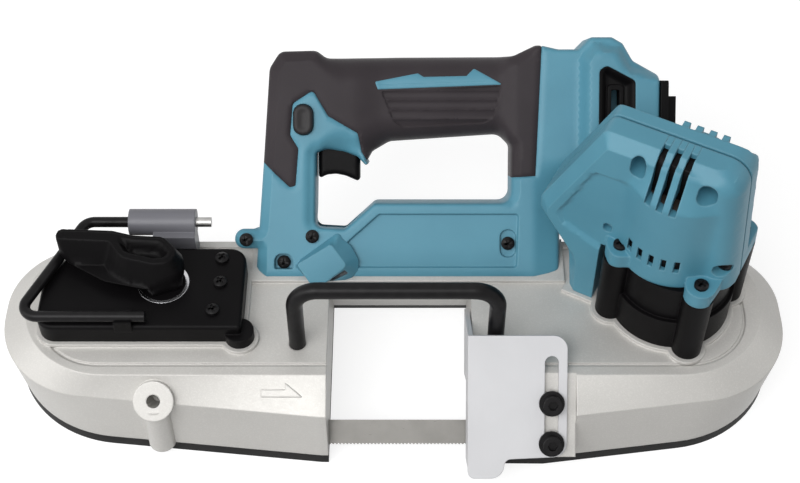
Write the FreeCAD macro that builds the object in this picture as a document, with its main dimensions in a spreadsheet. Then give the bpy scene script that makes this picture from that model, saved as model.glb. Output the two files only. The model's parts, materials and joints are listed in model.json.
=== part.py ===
import FreeCAD, Part
import math
import os
from types import SimpleNamespace

# A portable band saw lying on its bumper. X runs along the saw, Y to the back, Z up from the resting plane.
# Sketches use the line through the two wheel axes as Y zero; datum_shift then moves every piece so that the
# origin is the middle of the bumper's back strip on the resting plane.

doc = FreeCAD.newDocument("PortableBandSaw")

# Driving dimensions, in millimetres and degrees
dimensions = {
    # Frame casting
    "frame_length": 408.0,
    "bumper_height": 6.5,
    "bumper_width": 7.0,
    "crease_z": 42.0,
    "deck_z": 54.0,
    "back_y": 46.6,
    "end_left_y": 46.3,
    "end_right_y": 48.0,
    "flare_left_x": 37.0,
    "flare_left_y": 64.0,
    "flare_right_x": 78.0,
    "flare_right_y": 65.0,
    "low_front_corner": 64.0,
    "low_back_corner": 34.0,
    "high_front_corner": 50.0,
    "high_back_corner": 40.0,
    "deck_end_inset": 13.0,
    "deck_front_y": 46.6,
    "deck_back_y": 40.6,
    "deck_front_corner": 46.0,
    "deck_back_corner": 38.0,
    "wall": 4.0,
    "front_thinning": 1.5,
    "well_z": 38.0,
    "deck_wall": 6.0,
    "deck_well_inset": 22.0,
    "throat_left": 33.4,
    "throat_right": 40.6,
    "spine_top_y": 12.0,
    "spine_foot_y": 34.0,
    "channel_width": 5.2,
    "channel_z": 24.0,
    "seat_height": 2.0,
    "seat_margin": 2.2,
    "groove_y": 41.0,
    "groove_width": 1.6,
    "groove_depth": 0.8,
    "groove_end_inset": 22.0,
    "groove_corner": 33.0,
    # Threaded boss for a side handle
    "boss_x": 120.0,
    "boss_y": 57.2,
    "boss_z": 46.0,
    "boss_radius": 10.3,
    "boss_length": 20.0,
    "boss_hole_radius": 3.4,
    "boss_hole_depth": 18.0,
    "rib_radius": 7.0,
    "rib_y": 55.0,
    # Wheels and blade
    "wheel_x": 143.0,
    "wheel_z": 14.0,
    "wheel_radius": 40.7,
    "wheel_width": 13.0,
    "tyre_thickness": 2.0,
    "rim_thickness": 5.7,
    "web_thickness": 5.0,
    "hub_radius": 15.0,
    "hub_length": 15.0,
    "web_hole_radius": 6.0,
    "web_hole_circle": 24.0,
    "web_hole_count": 6,
    "blade_gap": 0.3,
    "blade_thickness": 0.5,
    "blade_width": 13.0,
    "twist_steps": 6,
    "tooth_pitch": 1.814,
    "tooth_depth": 0.9,
    "cut_y": 53.3,
    "cut_z": 12.0,
    "cut_lean": 45.0,
    # Blade guides
    "guide_reach": 5.6,
    "guide_pitch": 11.0,
    "guide_low": 4.4,
    "guide_high": 18.0,
    "guide_tail": 6.0,
    "guide_thickness": 4.0,
    "guide_back": 7.6,
    "guide_arm": 2.6,
    "guide_arm_half": 4.2,
    "guide_arm_front": 7.0,
    "guide_arm_gap": 0.7,
    "roller_radius": 3.2,
    "roller_length": 6.6,
    "roller_pin_radius": 1.4,
    "roller_fit": 0.05,
    "roller_gap": 0.12,
    "backup_radius": 5.0,
    "backup_thickness": 5.0,
    "backup_pin_radius": 2.0,
    "blade_slot_half": 2.5,
    "blade_slot_low": 16.0,
    # Stop plate, measured from the blade's centre line
    "pad_front": 24.2,
    "pad_right_x": 92.0,
    "pad_left_x": 71.0,
    "pad_depth": 14.0,
    "pad_low": 7.5,
    "pad_high": 34.0,
    "plate_thickness": 2.5,
    "plate_gap": 0.3,
    "plate_side_gap": 0.5,
    "plate_right_x": 87.3,
    "plate_top": 54.6,
    "plate_low": 6.7,
    "plate_step": 1.5,
    "plate_tip": 18.0,
    "plate_tip_right_x": 56.0,
    "plate_corner": 7.0,
    "plate_slot_x": 79.5,
    "plate_slot_half": 3.5,
    "plate_slot_low": 2.0,
    "plate_slot_high": 40.8,
    "flange_back": 19.5,
    "flange_back_top": 62.0,
    "flange_notch_high": 27.5,
    "flange_notch_front": 3.0,
    "flange_low": 13.0,
    "bolt_low": 0.0,
    "bolt_high": 20.4,
    "bolt_shank_radius": 3.0,
    "bolt_fit": 0.05,
    "bolt_depth": 6.5,
    "bolt_head_radius": 4.6,
    "bolt_head_height": 6.0,
    "bolt_socket_radius": 2.5,
    "bolt_socket_depth": 3.2,
    "washer_radius": 6.4,
    "washer_thickness": 1.4,
    # Guard rod
    "guard_left_x": 48.6,
    "guard_right_x": 52.0,
    "guard_y": 27.1,
    "guard_top_z": 97.4,
    "guard_radius": 4.2,
    "guard_bend": 12.0,
    "guard_depth": 5.0,
    "guard_fit": 0.05,
    # Idler axle and its sliding carriage
    "axle_radius": 5.0,
    "axle_fit": 0.03,
    "bearing_outer": 11.0,
    "axle_head_radius": 8.0,
    "axle_head": 2.0,
    "carriage_corner": 3.0,
    "carriage_half_length": 24.0,
    "carriage_half_width": 16.0,
    "carriage_low_z": 24.0,
    "carriage_gap": 0.3,
    "neck_half_length": 12.0,
    "neck_half_width": 6.5,
    "carriage_travel": 8.0,
    "yoke_half_length": 15.0,
    "yoke_half_width": 13.0,
    "yoke_height": 5.0,
    # Drive spindle
    "spindle_radius": 6.0,
    "spindle_boss_radius": 17.0,
    "spindle_boss_low_z": 25.0,
    "spindle_bearing_outer": 12.0,
    "spindle_bearing_width": 7.0,
    "spindle_fit": 0.03,
    # Tension cover
    "cover_left_x": 180.5,
    "cover_right_x": 76.5,
    "cover_front_y": 27.4,
    "cover_back_y": 25.0,
    "cover_height": 12.0,
    "cover_wall": 3.0,
    "cover_corner": 9.0,
    "cover_edge": 2.0,
    "cover_slant": 14.0,
    "cover_slant_depth": 22.4,
    "lug_x": 78.0,
    "lug_y": 24.5,
    "lug_radius": 7.5,
    "lug_height": 6.0,
    # Tension lever
    "lever_x": 118.0,
    "lever_y": 1.0,
    "lever_gap": 0.4,
    "lever_hub_radius": 11.0,
    "lever_hub_height": 12.0,
    "lever_tip_x": 171.0,
    "lever_tip_back_x": 166.5,
    "lever_back_y": 20.5,
    "lever_front_y": 11.5,
    "lever_step_x": 143.0,
    "lever_waist_y": 13.0,
    "lever_overlap": 6.0,
    "lever_corner": 5.0,
    "lever_nose_run": 18.0,
    "lever_nose_corner": 9.0,
    "lever_step_slant": 4.0,
    "lever_step_corner": 2.0,
    "paddle_lift": 7.4,
    "paddle_height": 12.6,
    "lever_shaft_radius": 5.0,
    "lever_shaft_fit": 0.06,
    "cam_radius": 8.0,
    "cam_height": 4.6,
    "cam_gap": 1.2,
    "cam_post_width": 6.0,
    "ring_width": 1.8,
    "ring_height": 0.3,
    # Tension spring
    "spring_radius": 7.0,
    "spring_wire": 1.0,
    "spring_turns": 7,
    "spring_end_x": 80.0,
    "spring_z": 33.0,
    "spring_lug_length": 6.0,
    # Hanging hook
    "hook_radius": 2.8,
    "hook_fit": 0.08,
    "hook_y": 39.0,
    "hook_z": 72.0,
    "hook_bend_x": 162.0,
    "hook_corner_x": 189.5,
    "hook_front_y": 23.5,
    "hook_end_x": 124.4,
    "hook_bend": 7.0,
    "holder_left_x": 139.0,
    "holder_right_x": 104.0,
    "holder_radius": 7.0,
    "holder_wall": 3.0,
    "holder_foot_length": 22.0,
    "holder_foot_width": 11.0,
    "pin_radius": 2.6,
    "pin_length": 8.0,
    "clip_x": 135.5,
    "clip_width": 9.0,
    "clip_wall": 1.6,
    "clip_gap": 0.3,
    # Gear housing
    "gear_height": 42.0,
    "gear_radius": 31.0,
    "gear_upper_radius": 28.6,
    "gear_ledge_height": 20.0,
    "gear_wall": 3.0,
    "lobe_count": 4,
    "lobe_circle": 31.5,
    "lobe_radius": 7.5,
    "lobe_angle": 10.0,
    # Planetary gears
    "gear_module": 0.8,
    "sun_teeth": 12,
    "planet_teeth": 24,
    "gear_backlash": 0.16,
    "tooth_tip": 0.8,
    "tooth_root": 1.1,
    "pressure_angle": 20.0,
    "planet_count": 3,
    "planet_height": 10.0,
    "planet_pin_radius": 2.5,
    "planet_fit": 0.05,
    "carrier_lift": 4.5,
    "carrier_thickness": 3.5,
    "carrier_radius": 19.0,
    "gear_gap": 0.4,
    # Motor
    "motor_turn": 28.0,
    "motor_front": 18.0,
    "motor_back": 18.0,
    "motor_seam": 0.2,
    "motor_right": 34.5,
    "motor_roof_right": 28.0,
    "motor_roof_left": 43.0,
    "motor_roof_corner": 12.0,
    "motor_height": 74.0,
    "motor_bevel": 4.5,
    "wing_tip": 71.0,
    "wing_tip_low": 6.0,
    "wing_tip_high": 14.0,
    "wing_waist": 53.0,
    "wing_waist_drop": 18.0,
    "wing_foot_left": 49.5,
    "wing_foot_right": 35.5,
    "wing_corner": 5.0,
    "bulge_left": 4.0,
    "bulge_radius": 27.5,
    "bulge_draft": 1.5,
    "bulge_shoulder": 52.0,
    "bulge_height": 71.0,
    "bulge_top_radius": 17.5,
    "motor_cavity_radius": 22.5,
    "motor_cavity_height": 56.0,
    "flange_height": 8.0,
    "well_radius": 5.2,
    "well_height": 22.0,
    "vent_count": 5,
    "vent_pitch": 6.2,
    "vent_width": 2.6,
    "vent_low": 11.0,
    "vent_tall": 8.0,
    "vent_first": 19.5,
    "slit_count": 3,
    "slit_pitch": 6.5,
    "slit_width": 3.2,
    "slit_first": 14.0,
    "slit_front": 30.0,
    "slit_back": 6.0,
    "slit_depth": 24.0,
    "comb_first": 8.0,
    "comb_front": 9.0,
    "comb_depth": 7.0,
    "oval_left": 23.5,
    "oval_right": 11.0,
    "oval_up": 63.0,
    "oval_radius": 4.0,
    "oval_stretch": 2.0,
    "oval_depth": 9.0,
    "shaft_radius": 3.0,
    "shaft_fit": 0.03,
    "rotor_radius": 13.0,
    "rotor_height": 34.0,
    "rotor_lift": 16.0,
    "stator_radius": 22.5,
    "stator_gap": 0.6,
    "fan_radius": 20.0,
    "fan_height": 7.0,
    "fan_lift": 4.0,
    "fan_blades": 9,
    "fan_blade_thickness": 1.2,
    "fan_disc_thickness": 1.4,
    "fan_hub_radius": 7.5,
    "motor_bearing_radius": 9.5,
    "motor_bearing_width": 6.0,
    "screw_head_radius": 3.6,
    "screw_head_height": 2.4,
    # Handle
    "handle_y": 12.0,
    "handle_lean": 45.0,
    "handle_half": 18.0,
    "grip_skin": 2.8,
    "shell_wall": 2.5,
    "foot_depth": 24.0,
    "foot_step": 30.0,
    "foot_ramp": 14.0,
    "foot_left_x": 72.5,
    "foot_right_x": 88.0,
    "bridge_up": 42.3,
    "window_left_x": 41.5,
    "window_right_x": 62.1,
    "battery_face_x": 138.0,
    "panel_depth": 2.0,
    "screw_well_radius": 4.3,
    "screw_well_depth": 4.0,
    "ear_x": 77.0,
    "ear_up": 23.1,
    "ear_half_length": 6.5,
    "ear_half_width": 5.2,
    "ear_thickness": 7.0,
    "battery_flare": 8.0,
    "battery_back_flare": 12.0,
    # Trigger, lock button and switch
    "trigger_left_x": 39.5,
    "trigger_right_x": 17.5,
    "trigger_low": 54.0,
    "trigger_high": 78.0,
    "trigger_half": 8.0,
    "trigger_travel": 6.0,
    "slide_gap": 0.3,
    "switch_low": 94.0,
    "switch_high": 112.0,
    "button_x": 46.8,
    "button_up": 85.8,
    "button_half_width": 5.1,
    "button_half_length": 7.9,
    "button_inside": 9.0,
    "button_proud": 3.6,
    "trigger_spring_radius": 4.0,
    "trigger_spring_wire": 0.5,
    "trigger_spring_turns": 6,
    # Work light, insert and battery rail
    "light_x": 29.0,
    "light_up": 12.5,
    "light_turn": 56.5,
    "light_half_length": 13.0,
    "light_half_width": 14.0,
    "light_height": 14.0,
    "light_corner": 3.0,
    "lens_inset": 3.0,
    "lens_depth": 2.0,
    "insert_thickness": 1.6,
    "rail_thickness": 4.0,
    "rail_height": 5.0,
    "rail_width": 7.0,
    "rail_low": 52.0,
    "rail_high": 106.0,
    "rail_stop": 8.0,
    "terminal_thickness": 1.0,
    "terminal_inset": 10.0,
    "terminal_length": 14.0,
    "terminal_height": 8.0,
    "board_thickness": 6.0,
}

sheet = doc.addObject("Spreadsheet::Sheet", "Dims")
for row, (alias, value) in enumerate(dimensions.items(), start=1):
    sheet.set(f"A{row}", alias)
    sheet.set(f"B{row}", str(value))
    sheet.setAlias(f"B{row}", alias)
doc.recompute()
dim = SimpleNamespace(**{alias: float(sheet.get(alias)) for alias in dimensions})

datum_shift = "(Dims.bumper_width / 2 - Dims.back_y)"
datum_y = dim.bumper_width / 2 - dim.back_y
pieces = []


# Drawing helpers

def vector(x, y, z=0.0):
    return FreeCAD.Vector(x, y, z)


def turned(axis, angle):
    return FreeCAD.Rotation(axis, angle)


def outline(corners):
    # Closed chain of lines and arcs; each corner is (x, y) or (x, y, radius)
    points = [vector(corner[0], corner[1]) for corner in corners]
    radii = [corner[2] if len(corner) > 2 else 0.0 for corner in corners]
    entries, exits, arcs = [], [], []
    for index, point in enumerate(points):
        to_last = (points[index - 1] - point).normalize()
        to_next = (points[(index + 1) % len(points)] - point).normalize()
        radius = radii[index]
        if radius < 1e-6:
            entries.append(point)
            exits.append(point)
            arcs.append(None)
            continue
        half = to_last.getAngle(to_next) / 2
        run = radius / math.tan(half)
        centre = point + (to_last + to_next).normalize() * (radius / math.sin(half))
        start = point + to_last * run
        end = point + to_next * run
        entries.append(start)
        exits.append(end)
        angles = [math.atan2(spot.y - centre.y, spot.x - centre.x) for spot in (start, end)]
        if to_last.cross(to_next).z > 0:
            angles.reverse()
        arcs.append(Part.ArcOfCircle(Part.Circle(centre, vector(0, 0, 1), radius), *angles))
    chain = []
    for index, arc in enumerate(arcs):
        if arc is not None:
            chain.append(arc)
        start, end = exits[index], entries[(index + 1) % len(arcs)]
        if (end - start).Length > 1e-6:
            chain.append(Part.LineSegment(start, end))
    return chain


def inset(corners, distance):
    # The same counter-clockwise corners with every side moved inwards
    moved = []
    count = len(corners)
    for index in range(count):
        last, here, after = (vector(*corners[(index + step) % count][:2]) for step in (-1, 0, 1))
        arriving = (here - last).normalize()
        leaving = (after - here).normalize()
        normal_in = vector(-arriving.y, arriving.x)
        normal_out = vector(-leaving.y, leaving.x)
        bisector = (normal_in + normal_out).normalize()
        spot = here + bisector * (distance / bisector.dot(normal_in))
        radius = corners[index][2] if len(corners[index]) > 2 else 0.0
        grows = arriving.cross(leaving).z < 0
        if radius:
            radius = max(radius + (distance if grows else -distance), 0.0)
        moved.append((spot.x, spot.y, radius))
    return moved


def box_corners(left, low, right, high, radius=0.0):
    return [(left, low, radius), (right, low, radius), (right, high, radius), (left, high, radius)]


def circle(x, y, radius):
    return [Part.Circle(vector(x, y), vector(0, 0, 1), radius)]


def stadium(x, y, half_width, half_height):
    # A box whose shorter sides are full round ends
    return outline(box_corners(x - half_width, y - half_height, x + half_width, y + half_height,
                               min(half_width, half_height)))


def ring_spots(count, radius, first=0.0):
    # Evenly spaced spots on a circle about zero, from the given first angle in radians
    turns = [first + 2 * math.pi * step / count for step in range(int(count))]
    return [(radius * math.cos(turn), radius * math.sin(turn)) for turn in turns]


def make_body(label, x="0", y="0", z="0", rotation=FreeCAD.Rotation()):
    body = doc.addObject("PartDesign::Body", label)
    body.Label = label
    body.Placement = FreeCAD.Placement(vector(0, 0), rotation)
    body.setExpression("Placement.Base.x", x)
    body.setExpression("Placement.Base.y", f"{y} + {datum_shift}")
    body.setExpression("Placement.Base.z", z)
    pieces.append(body)
    return body


def draw(body, chains, offset="0", plane="XY_Plane", at=None):
    sketch = body.newObject("Sketcher::SketchObject", "Sketch")
    support = next(item for item in body.Origin.OriginFeatures if item.Role == plane)
    sketch.AttachmentSupport = (support, [""])
    sketch.MapMode = "FlatFace"
    if at is not None:
        sketch.AttachmentOffset = at
    else:
        sketch.setExpression("AttachmentOffset.Base.z", offset)
    for chain in chains:
        sketch.addGeometry(chain, False)
    return sketch


def pad(body, sketch, length, reverse=False, middle=False, taper=None):
    feature = body.newObject("PartDesign::Pad", "Pad")
    feature.Profile = sketch
    feature.setExpression("Length", length)
    feature.Reversed = reverse
    feature.Midplane = middle
    if taper is not None:
        feature.setExpression("TaperAngle", taper)
    doc.recompute()
    return feature


def pocket(body, sketch, length, reverse=False, middle=False):
    before = body.Shape.Volume
    feature = body.newObject("PartDesign::Pocket", "Pocket")
    feature.Profile = sketch
    feature.setExpression("Length", length)
    feature.Reversed = reverse
    feature.Midplane = middle
    doc.recompute()
    if body.Shape.Volume > before - 1e-6:
        raise RuntimeError(f"a pocket of {body.Label} removes nothing")
    return feature


def revolve(body, sketch):
    feature = body.newObject("PartDesign::Revolution", "Revolution")
    feature.Profile = sketch
    feature.ReferenceAxis = (sketch, ["V_Axis"])
    feature.Angle = 360.0
    doc.recompute()
    return feature


def loft(body, sketches):
    feature = body.newObject("PartDesign::AdditiveLoft", "Loft")
    feature.Profile = sketches[0]
    feature.Sections = sketches[1:]
    feature.Ruled = True
    doc.recompute()
    return feature


def soften(body, chosen, radius, kind="Fillet"):
    # Rounds or bevels every edge of the body that the test picks
    tip = body.Tip
    names = [f"Edge{number}" for number, edge in enumerate(tip.Shape.Edges, start=1) if chosen(edge)]
    feature = body.newObject(f"PartDesign::{kind}", kind)
    feature.Base = (tip, names)
    feature.setExpression("Radius" if kind == "Fillet" else "Size", radius)
    doc.recompute()
    return feature


def make_feature(label, shape, x=0.0, y=0.0, z=0.0, rotation=FreeCAD.Rotation()):
    feature = doc.addObject("Part::Feature", label)
    feature.Label = label
    feature.Shape = shape
    feature.Placement = FreeCAD.Placement(vector(x, y + datum_y, z), rotation)
    pieces.append(feature)
    return feature


def level_edge(edge, z):
    return abs(edge.BoundBox.ZMin - z) < 1e-4 and abs(edge.BoundBox.ZMax - z) < 1e-4


# The plane of the cut leans back; its local x runs along the saw, y up the blade's width, z to the front
half_length = dim.frame_length / 2
cut_turn = turned(vector(1, 0, 0), 90.0 - dim.cut_lean)
cut_up = cut_turn.multVec(vector(0, 1, 0))
cut_front = cut_turn.multVec(vector(0, 0, 1))


# Frame casting and bumper

def frame_corners(front_corner, back_corner):
    return [
        (-half_length, -dim.end_left_y, front_corner),
        (-dim.flare_left_x, -dim.flare_left_y),
        (dim.flare_right_x, -dim.flare_right_y),
        (half_length, -dim.end_right_y, front_corner),
        (half_length, dim.back_y, back_corner),
        (-half_length, dim.back_y, back_corner),
    ]


low_corners = frame_corners(dim.low_front_corner, dim.low_back_corner)
high_corners = frame_corners(dim.high_front_corner, dim.high_back_corner)
deck_half = half_length - dim.deck_end_inset
deck_corners = [
    (-deck_half, -dim.deck_front_y, dim.deck_front_corner),
    (-dim.flare_left_x, -dim.deck_front_y),
    (dim.flare_right_x, -dim.deck_front_y),
    (deck_half, -dim.deck_front_y, dim.deck_front_corner),
    (deck_half, dim.deck_back_y, dim.deck_back_corner),
    (-deck_half, dim.deck_back_y, dim.deck_back_corner),
]
left_arm = [
    (-half_length, -dim.end_left_y - dim.front_thinning, dim.low_front_corner),
    (-dim.throat_left, -dim.flare_left_y - dim.front_thinning),
    (-dim.throat_left, dim.back_y),
    low_corners[5],
]
right_arm = [
    (dim.throat_right, -dim.flare_right_y),
    low_corners[2],
    low_corners[3],
    low_corners[4],
    (dim.throat_right, dim.back_y),
]
channel_corners = box_corners(
    -dim.throat_left - 2 * dim.wall,
    dim.back_y - dim.wall - dim.channel_width,
    dim.throat_right + 2 * dim.wall,
    dim.back_y - dim.wall,
)
throat_slope = (dim.spine_foot_y - dim.spine_top_y) / (dim.deck_z - dim.bumper_height)
overrun = 20.0


def spine_y(z):
    return dim.spine_top_y + (dim.deck_z - z) * throat_slope


def cut_throat(body):
    low, high = -overrun, dim.deck_z + overrun
    front = -dim.flare_right_y - overrun
    wedge = outline([(front, low), (spine_y(low), low), (spine_y(high), high), (front, high)])
    sketch = draw(body, [wedge], "(Dims.throat_right - Dims.throat_left) / 2", "YZ_Plane")
    pocket(body, sketch, "Dims.throat_right + Dims.throat_left", middle=True)


def cut_point(up, front):
    # Y and Z of a spot measured from the blade's centre line, up its width and to its front
    spot = vector(0, -dim.cut_y, dim.cut_z) + cut_up * up + cut_front * front
    return spot.y, spot.z


def cut_seat(front):
    return FreeCAD.Placement(vector(0, *cut_point(0, front)), cut_turn)


frame = make_body("frame_casting")
levels = [
    draw(frame, [outline(low_corners)], "Dims.bumper_height"),
    draw(frame, [outline(high_corners)], "Dims.crease_z"),
    draw(frame, [outline(deck_corners)], "Dims.deck_z"),
]
loft(frame, levels)
cut_throat(frame)
for arm in (left_arm, right_arm):
    pocket(frame, draw(frame, [outline(inset(arm, dim.wall))], "Dims.bumper_height"),
           "Dims.well_z - Dims.bumper_height", reverse=True)
    pocket(frame, draw(frame, [outline(inset(arm, dim.deck_well_inset))], "Dims.well_z"),
           "Dims.deck_z - Dims.deck_wall - Dims.well_z", reverse=True)
pocket(frame, draw(frame, [outline(channel_corners)], "Dims.bumper_height"),
       "Dims.channel_z - Dims.bumper_height", reverse=True)

# Seat of the stop plate: a thick pad behind a slanted cut across the right arm's front corner
seat_corners = box_corners(dim.pad_left_x, -dim.pad_low, dim.pad_right_x, dim.pad_high)
pad(frame, draw(frame, [outline(seat_corners)], at=cut_seat(dim.pad_front)), "Dims.pad_depth", reverse=True)
face_cut = box_corners(dim.throat_right - overrun, -dim.plate_tip, dim.pad_right_x, dim.plate_top + overrun)
pocket(frame, draw(frame, [outline(face_cut)], at=cut_seat(dim.pad_front)), "2 * Dims.pad_high", reverse=True)
bolt_heights = (dim.bolt_low, dim.bolt_high)
bolt_holes = [circle(dim.plate_slot_x, up, dim.bolt_shank_radius + dim.bolt_fit) for up in bolt_heights]
pocket(frame, draw(frame, bolt_holes, at=cut_seat(dim.pad_front)), "Dims.bolt_depth")

# Slots through the throat walls that let the blade pass
slot = [
    cut_point(-dim.blade_slot_low, -dim.blade_slot_half),
    cut_point(-dim.blade_slot_low, dim.blade_slot_half),
    cut_point(dim.blade_width / 2 + dim.guide_arm_gap, dim.blade_slot_half),
    cut_point(dim.blade_width / 2 + dim.guide_arm_gap, -dim.blade_slot_half),
]
pocket(frame, draw(frame, [outline(slot)], "(Dims.throat_right - Dims.throat_left) / 2", "YZ_Plane"),
       "Dims.throat_right + Dims.throat_left + 4 * Dims.wall", middle=True)

# Threaded boss on the front bevel, with a rib down to the foot of the wall
boss_face = FreeCAD.Placement(vector(-dim.boss_x, -dim.boss_y, dim.boss_z), cut_turn)
pad(frame, draw(frame, [circle(0, 0, dim.boss_radius)], at=boss_face), "Dims.boss_length", reverse=True)
pad(frame, draw(frame, [circle(-dim.boss_x, -dim.rib_y, dim.rib_radius)], "Dims.bumper_height"),
    "Dims.crease_z - Dims.bumper_height")
pocket(frame, draw(frame, [circle(0, 0, dim.boss_hole_radius)], at=boss_face), "Dims.boss_hole_depth")

# Groove line round the deck
groove_half = half_length - dim.groove_end_inset
groove_back_y = dim.deck_back_y - dim.wall
groove_corners = box_corners(-groove_half, -dim.groove_y, groove_half, groove_back_y, dim.groove_corner)
groove = [outline(groove_corners), outline(inset(groove_corners, dim.groove_width))]
pocket(frame, draw(frame, groove, "Dims.deck_z"), "Dims.groove_depth")

# Holes for the guard rod
rod_feet = (-dim.guard_left_x, dim.guard_right_x)
rod_holes = [circle(x, -dim.guard_y, dim.guard_radius + dim.guard_fit) for x in rod_feet]
pocket(frame, draw(frame, rod_holes, "Dims.deck_z"), "Dims.guard_depth")

bumper = make_body("rubber_bumper")
pad(bumper, draw(bumper, [outline(low_corners)]), "Dims.bumper_height")
cut_throat(bumper)
for arm in (left_arm, right_arm):
    pocket(bumper, draw(bumper, [outline(inset(arm, dim.bumper_width))]), "Dims.bumper_height", reverse=True)
pocket(bumper, draw(bumper, [outline(channel_corners)]), "Dims.bumper_height", reverse=True)

# Wheels, tyres, axle and bearings

def wheel_profile(bore):
    rim = dim.wheel_radius - dim.tyre_thickness
    ledge = rim - dim.rim_thickness
    hub, web, half = dim.hub_length / 2, dim.web_thickness / 2, dim.wheel_width / 2
    return [
        (bore, -hub), (dim.hub_radius, -hub), (dim.hub_radius, -web), (ledge, -web), (ledge, -half),
        (rim, -half), (rim, half), (ledge, half), (ledge, web), (dim.hub_radius, web), (dim.hub_radius, hub),
        (bore, hub),
    ]


def make_wheel(label, x, bore):
    wheel = make_body(label, x, "0", "Dims.wheel_z")
    revolve(wheel, draw(wheel, [outline(wheel_profile(bore))], plane="XZ_Plane"))
    spots = ring_spots(dim.web_hole_count, dim.web_hole_circle)
    holes = [circle(x, y, dim.web_hole_radius) for x, y in spots]
    pocket(wheel, draw(wheel, holes), "2 * Dims.web_thickness", middle=True)


def make_ring(label, x, y, z, inner, outer, height):
    # A plain ring standing on z
    ring = make_body(label, x, y, z)
    pad(ring, draw(ring, [circle(0, 0, outer), circle(0, 0, inner)]), height)
    return ring


make_wheel("drive_wheel", "Dims.wheel_x", dim.spindle_radius)
make_wheel("idler_wheel", "-Dims.wheel_x", dim.bearing_outer)
for label, x in (("drive_tyre", "Dims.wheel_x"), ("idler_tyre", "-Dims.wheel_x")):
    make_ring(label, x, "0", "Dims.wheel_z - Dims.wheel_width / 2", dim.wheel_radius - dim.tyre_thickness,
              dim.wheel_radius, "Dims.wheel_width")
idler_bearings = make_body("idler_bearings", "-Dims.wheel_x", "0", "Dims.wheel_z - Dims.hub_length / 2")
pad(idler_bearings, draw(idler_bearings, [circle(0, 0, dim.bearing_outer),
                                          circle(0, 0, dim.axle_radius + dim.axle_fit)]), "Dims.hub_length")

# Sliding carriage of the idler: a block under the deck, a neck through the deck slot and a yoke above it
deck_under = "Dims.deck_z - Dims.deck_wall"
pocket(frame, draw(frame, [outline(box_corners(
    -dim.wheel_x - dim.neck_half_length - dim.carriage_gap,
    -dim.neck_half_width - dim.carriage_gap,
    -dim.wheel_x + dim.neck_half_length + dim.carriage_travel + dim.carriage_gap,
    dim.neck_half_width + dim.carriage_gap,
))], "Dims.deck_z"), "2 * Dims.deck_wall")
carriage = make_body("idler_carriage", "-Dims.wheel_x")


def carriage_block(half_length, half_width, low, height):
    block = box_corners(-half_length, -half_width, half_length, half_width, dim.carriage_corner)
    pad(carriage, draw(carriage, [outline(block)], low), height)


carriage_block(dim.carriage_half_length, dim.carriage_half_width, "Dims.carriage_low_z",
               f"{deck_under} - Dims.carriage_gap - Dims.carriage_low_z")
carriage_block(dim.neck_half_length, dim.neck_half_width, "Dims.carriage_low_z",
               "Dims.deck_z + Dims.carriage_gap - Dims.carriage_low_z")
carriage_block(dim.yoke_half_length, dim.yoke_half_width, "Dims.deck_z + Dims.carriage_gap", "Dims.yoke_height")
axle_hole = "3 * Dims.axle_radius"
axle_circle = circle(0, 0, dim.axle_radius)
pocket(carriage, draw(carriage, [axle_circle], "Dims.carriage_low_z"), axle_hole, reverse=True)
axle = make_body("idler_axle", "-Dims.wheel_x")
axle_foot = "Dims.wheel_z - Dims.hub_length / 2 - Dims.carriage_gap - Dims.axle_head"
pad(axle, draw(axle, [circle(0, 0, dim.axle_head_radius)], axle_foot), "Dims.axle_head")
pad(axle, draw(axle, [circle(0, 0, dim.axle_radius)], axle_foot),
    f"Dims.carriage_low_z + {axle_hole} - ({axle_foot})")

# Spindle boss under the deck on the drive side
pad(frame, draw(frame, [circle(dim.wheel_x, 0, dim.spindle_boss_radius)], "Dims.spindle_boss_low_z"),
    "Dims.deck_z - Dims.spindle_boss_low_z")
pocket(frame, draw(frame, [circle(dim.wheel_x, 0, dim.spindle_bearing_outer)], "Dims.spindle_boss_low_z"),
       "Dims.deck_z", reverse=True)

# Saw blade: wrapped round both wheels, twisted into the plane of the cut and toothed where it shows
blade_radius = dim.wheel_radius + dim.blade_gap + dim.blade_thickness / 2
blade_half = dim.blade_width / 2
guide_left_x = -dim.throat_left - dim.wall - dim.guide_reach
guide_right_x = dim.throat_right + dim.wall + dim.guide_reach
cut_left_x = guide_left_x - dim.guide_pitch - dim.guide_tail
cut_right_x = guide_right_x + dim.guide_pitch + dim.guide_tail


def blade_section(centre, across, up):
    side, rise = across * (dim.blade_thickness / 2), up * blade_half
    spots = [centre - side - rise, centre + side - rise, centre + side + rise, centre - side + rise]
    return Part.makePolygon(spots + spots[:1])


def wheel_touch(wheel_x, guide_x):
    # Angle at which the straight run to a guide leaves its wheel
    reach = vector(guide_x - wheel_x, -dim.cut_y)
    swing = math.acos(blade_radius / reach.Length)
    return math.atan2(reach.y, reach.x) + (swing if wheel_x > guide_x else -swing)


def twisted_run(wheel_x, guide_x):
    angle = wheel_touch(wheel_x, guide_x)
    radial = vector(math.cos(angle), math.sin(angle))
    start = vector(wheel_x, 0, dim.wheel_z) + radial * blade_radius
    end = vector(guide_x, -dim.cut_y, dim.cut_z)
    sections = []
    steps = int(dim.twist_steps)
    for step in range(steps + 1):
        share = step / steps
        across = (radial * (1 - share) + cut_front * share).normalize()
        along = (end - start) if step < steps else vector(1, 0, 0)
        up = across.cross(along).normalize() if step > 0 else vector(0, 0, 1)
        up = up if up.z > 0 else up * -1
        sections.append(blade_section(start + (end - start) * share, across, up))
    return Part.makeLoft(sections, True, True)


def wheel_wrap(wheel_x, guide_x):
    face = Part.Face(blade_section(vector(wheel_x, blade_radius, dim.wheel_z), vector(0, 1), vector(0, 0, 1)))
    sweep = math.degrees(wheel_touch(wheel_x, guide_x)) - 90.0
    if wheel_x < guide_x:
        sweep += 360.0
    return face.revolve(vector(wheel_x, 0), vector(0, 0, 1), sweep)


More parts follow.
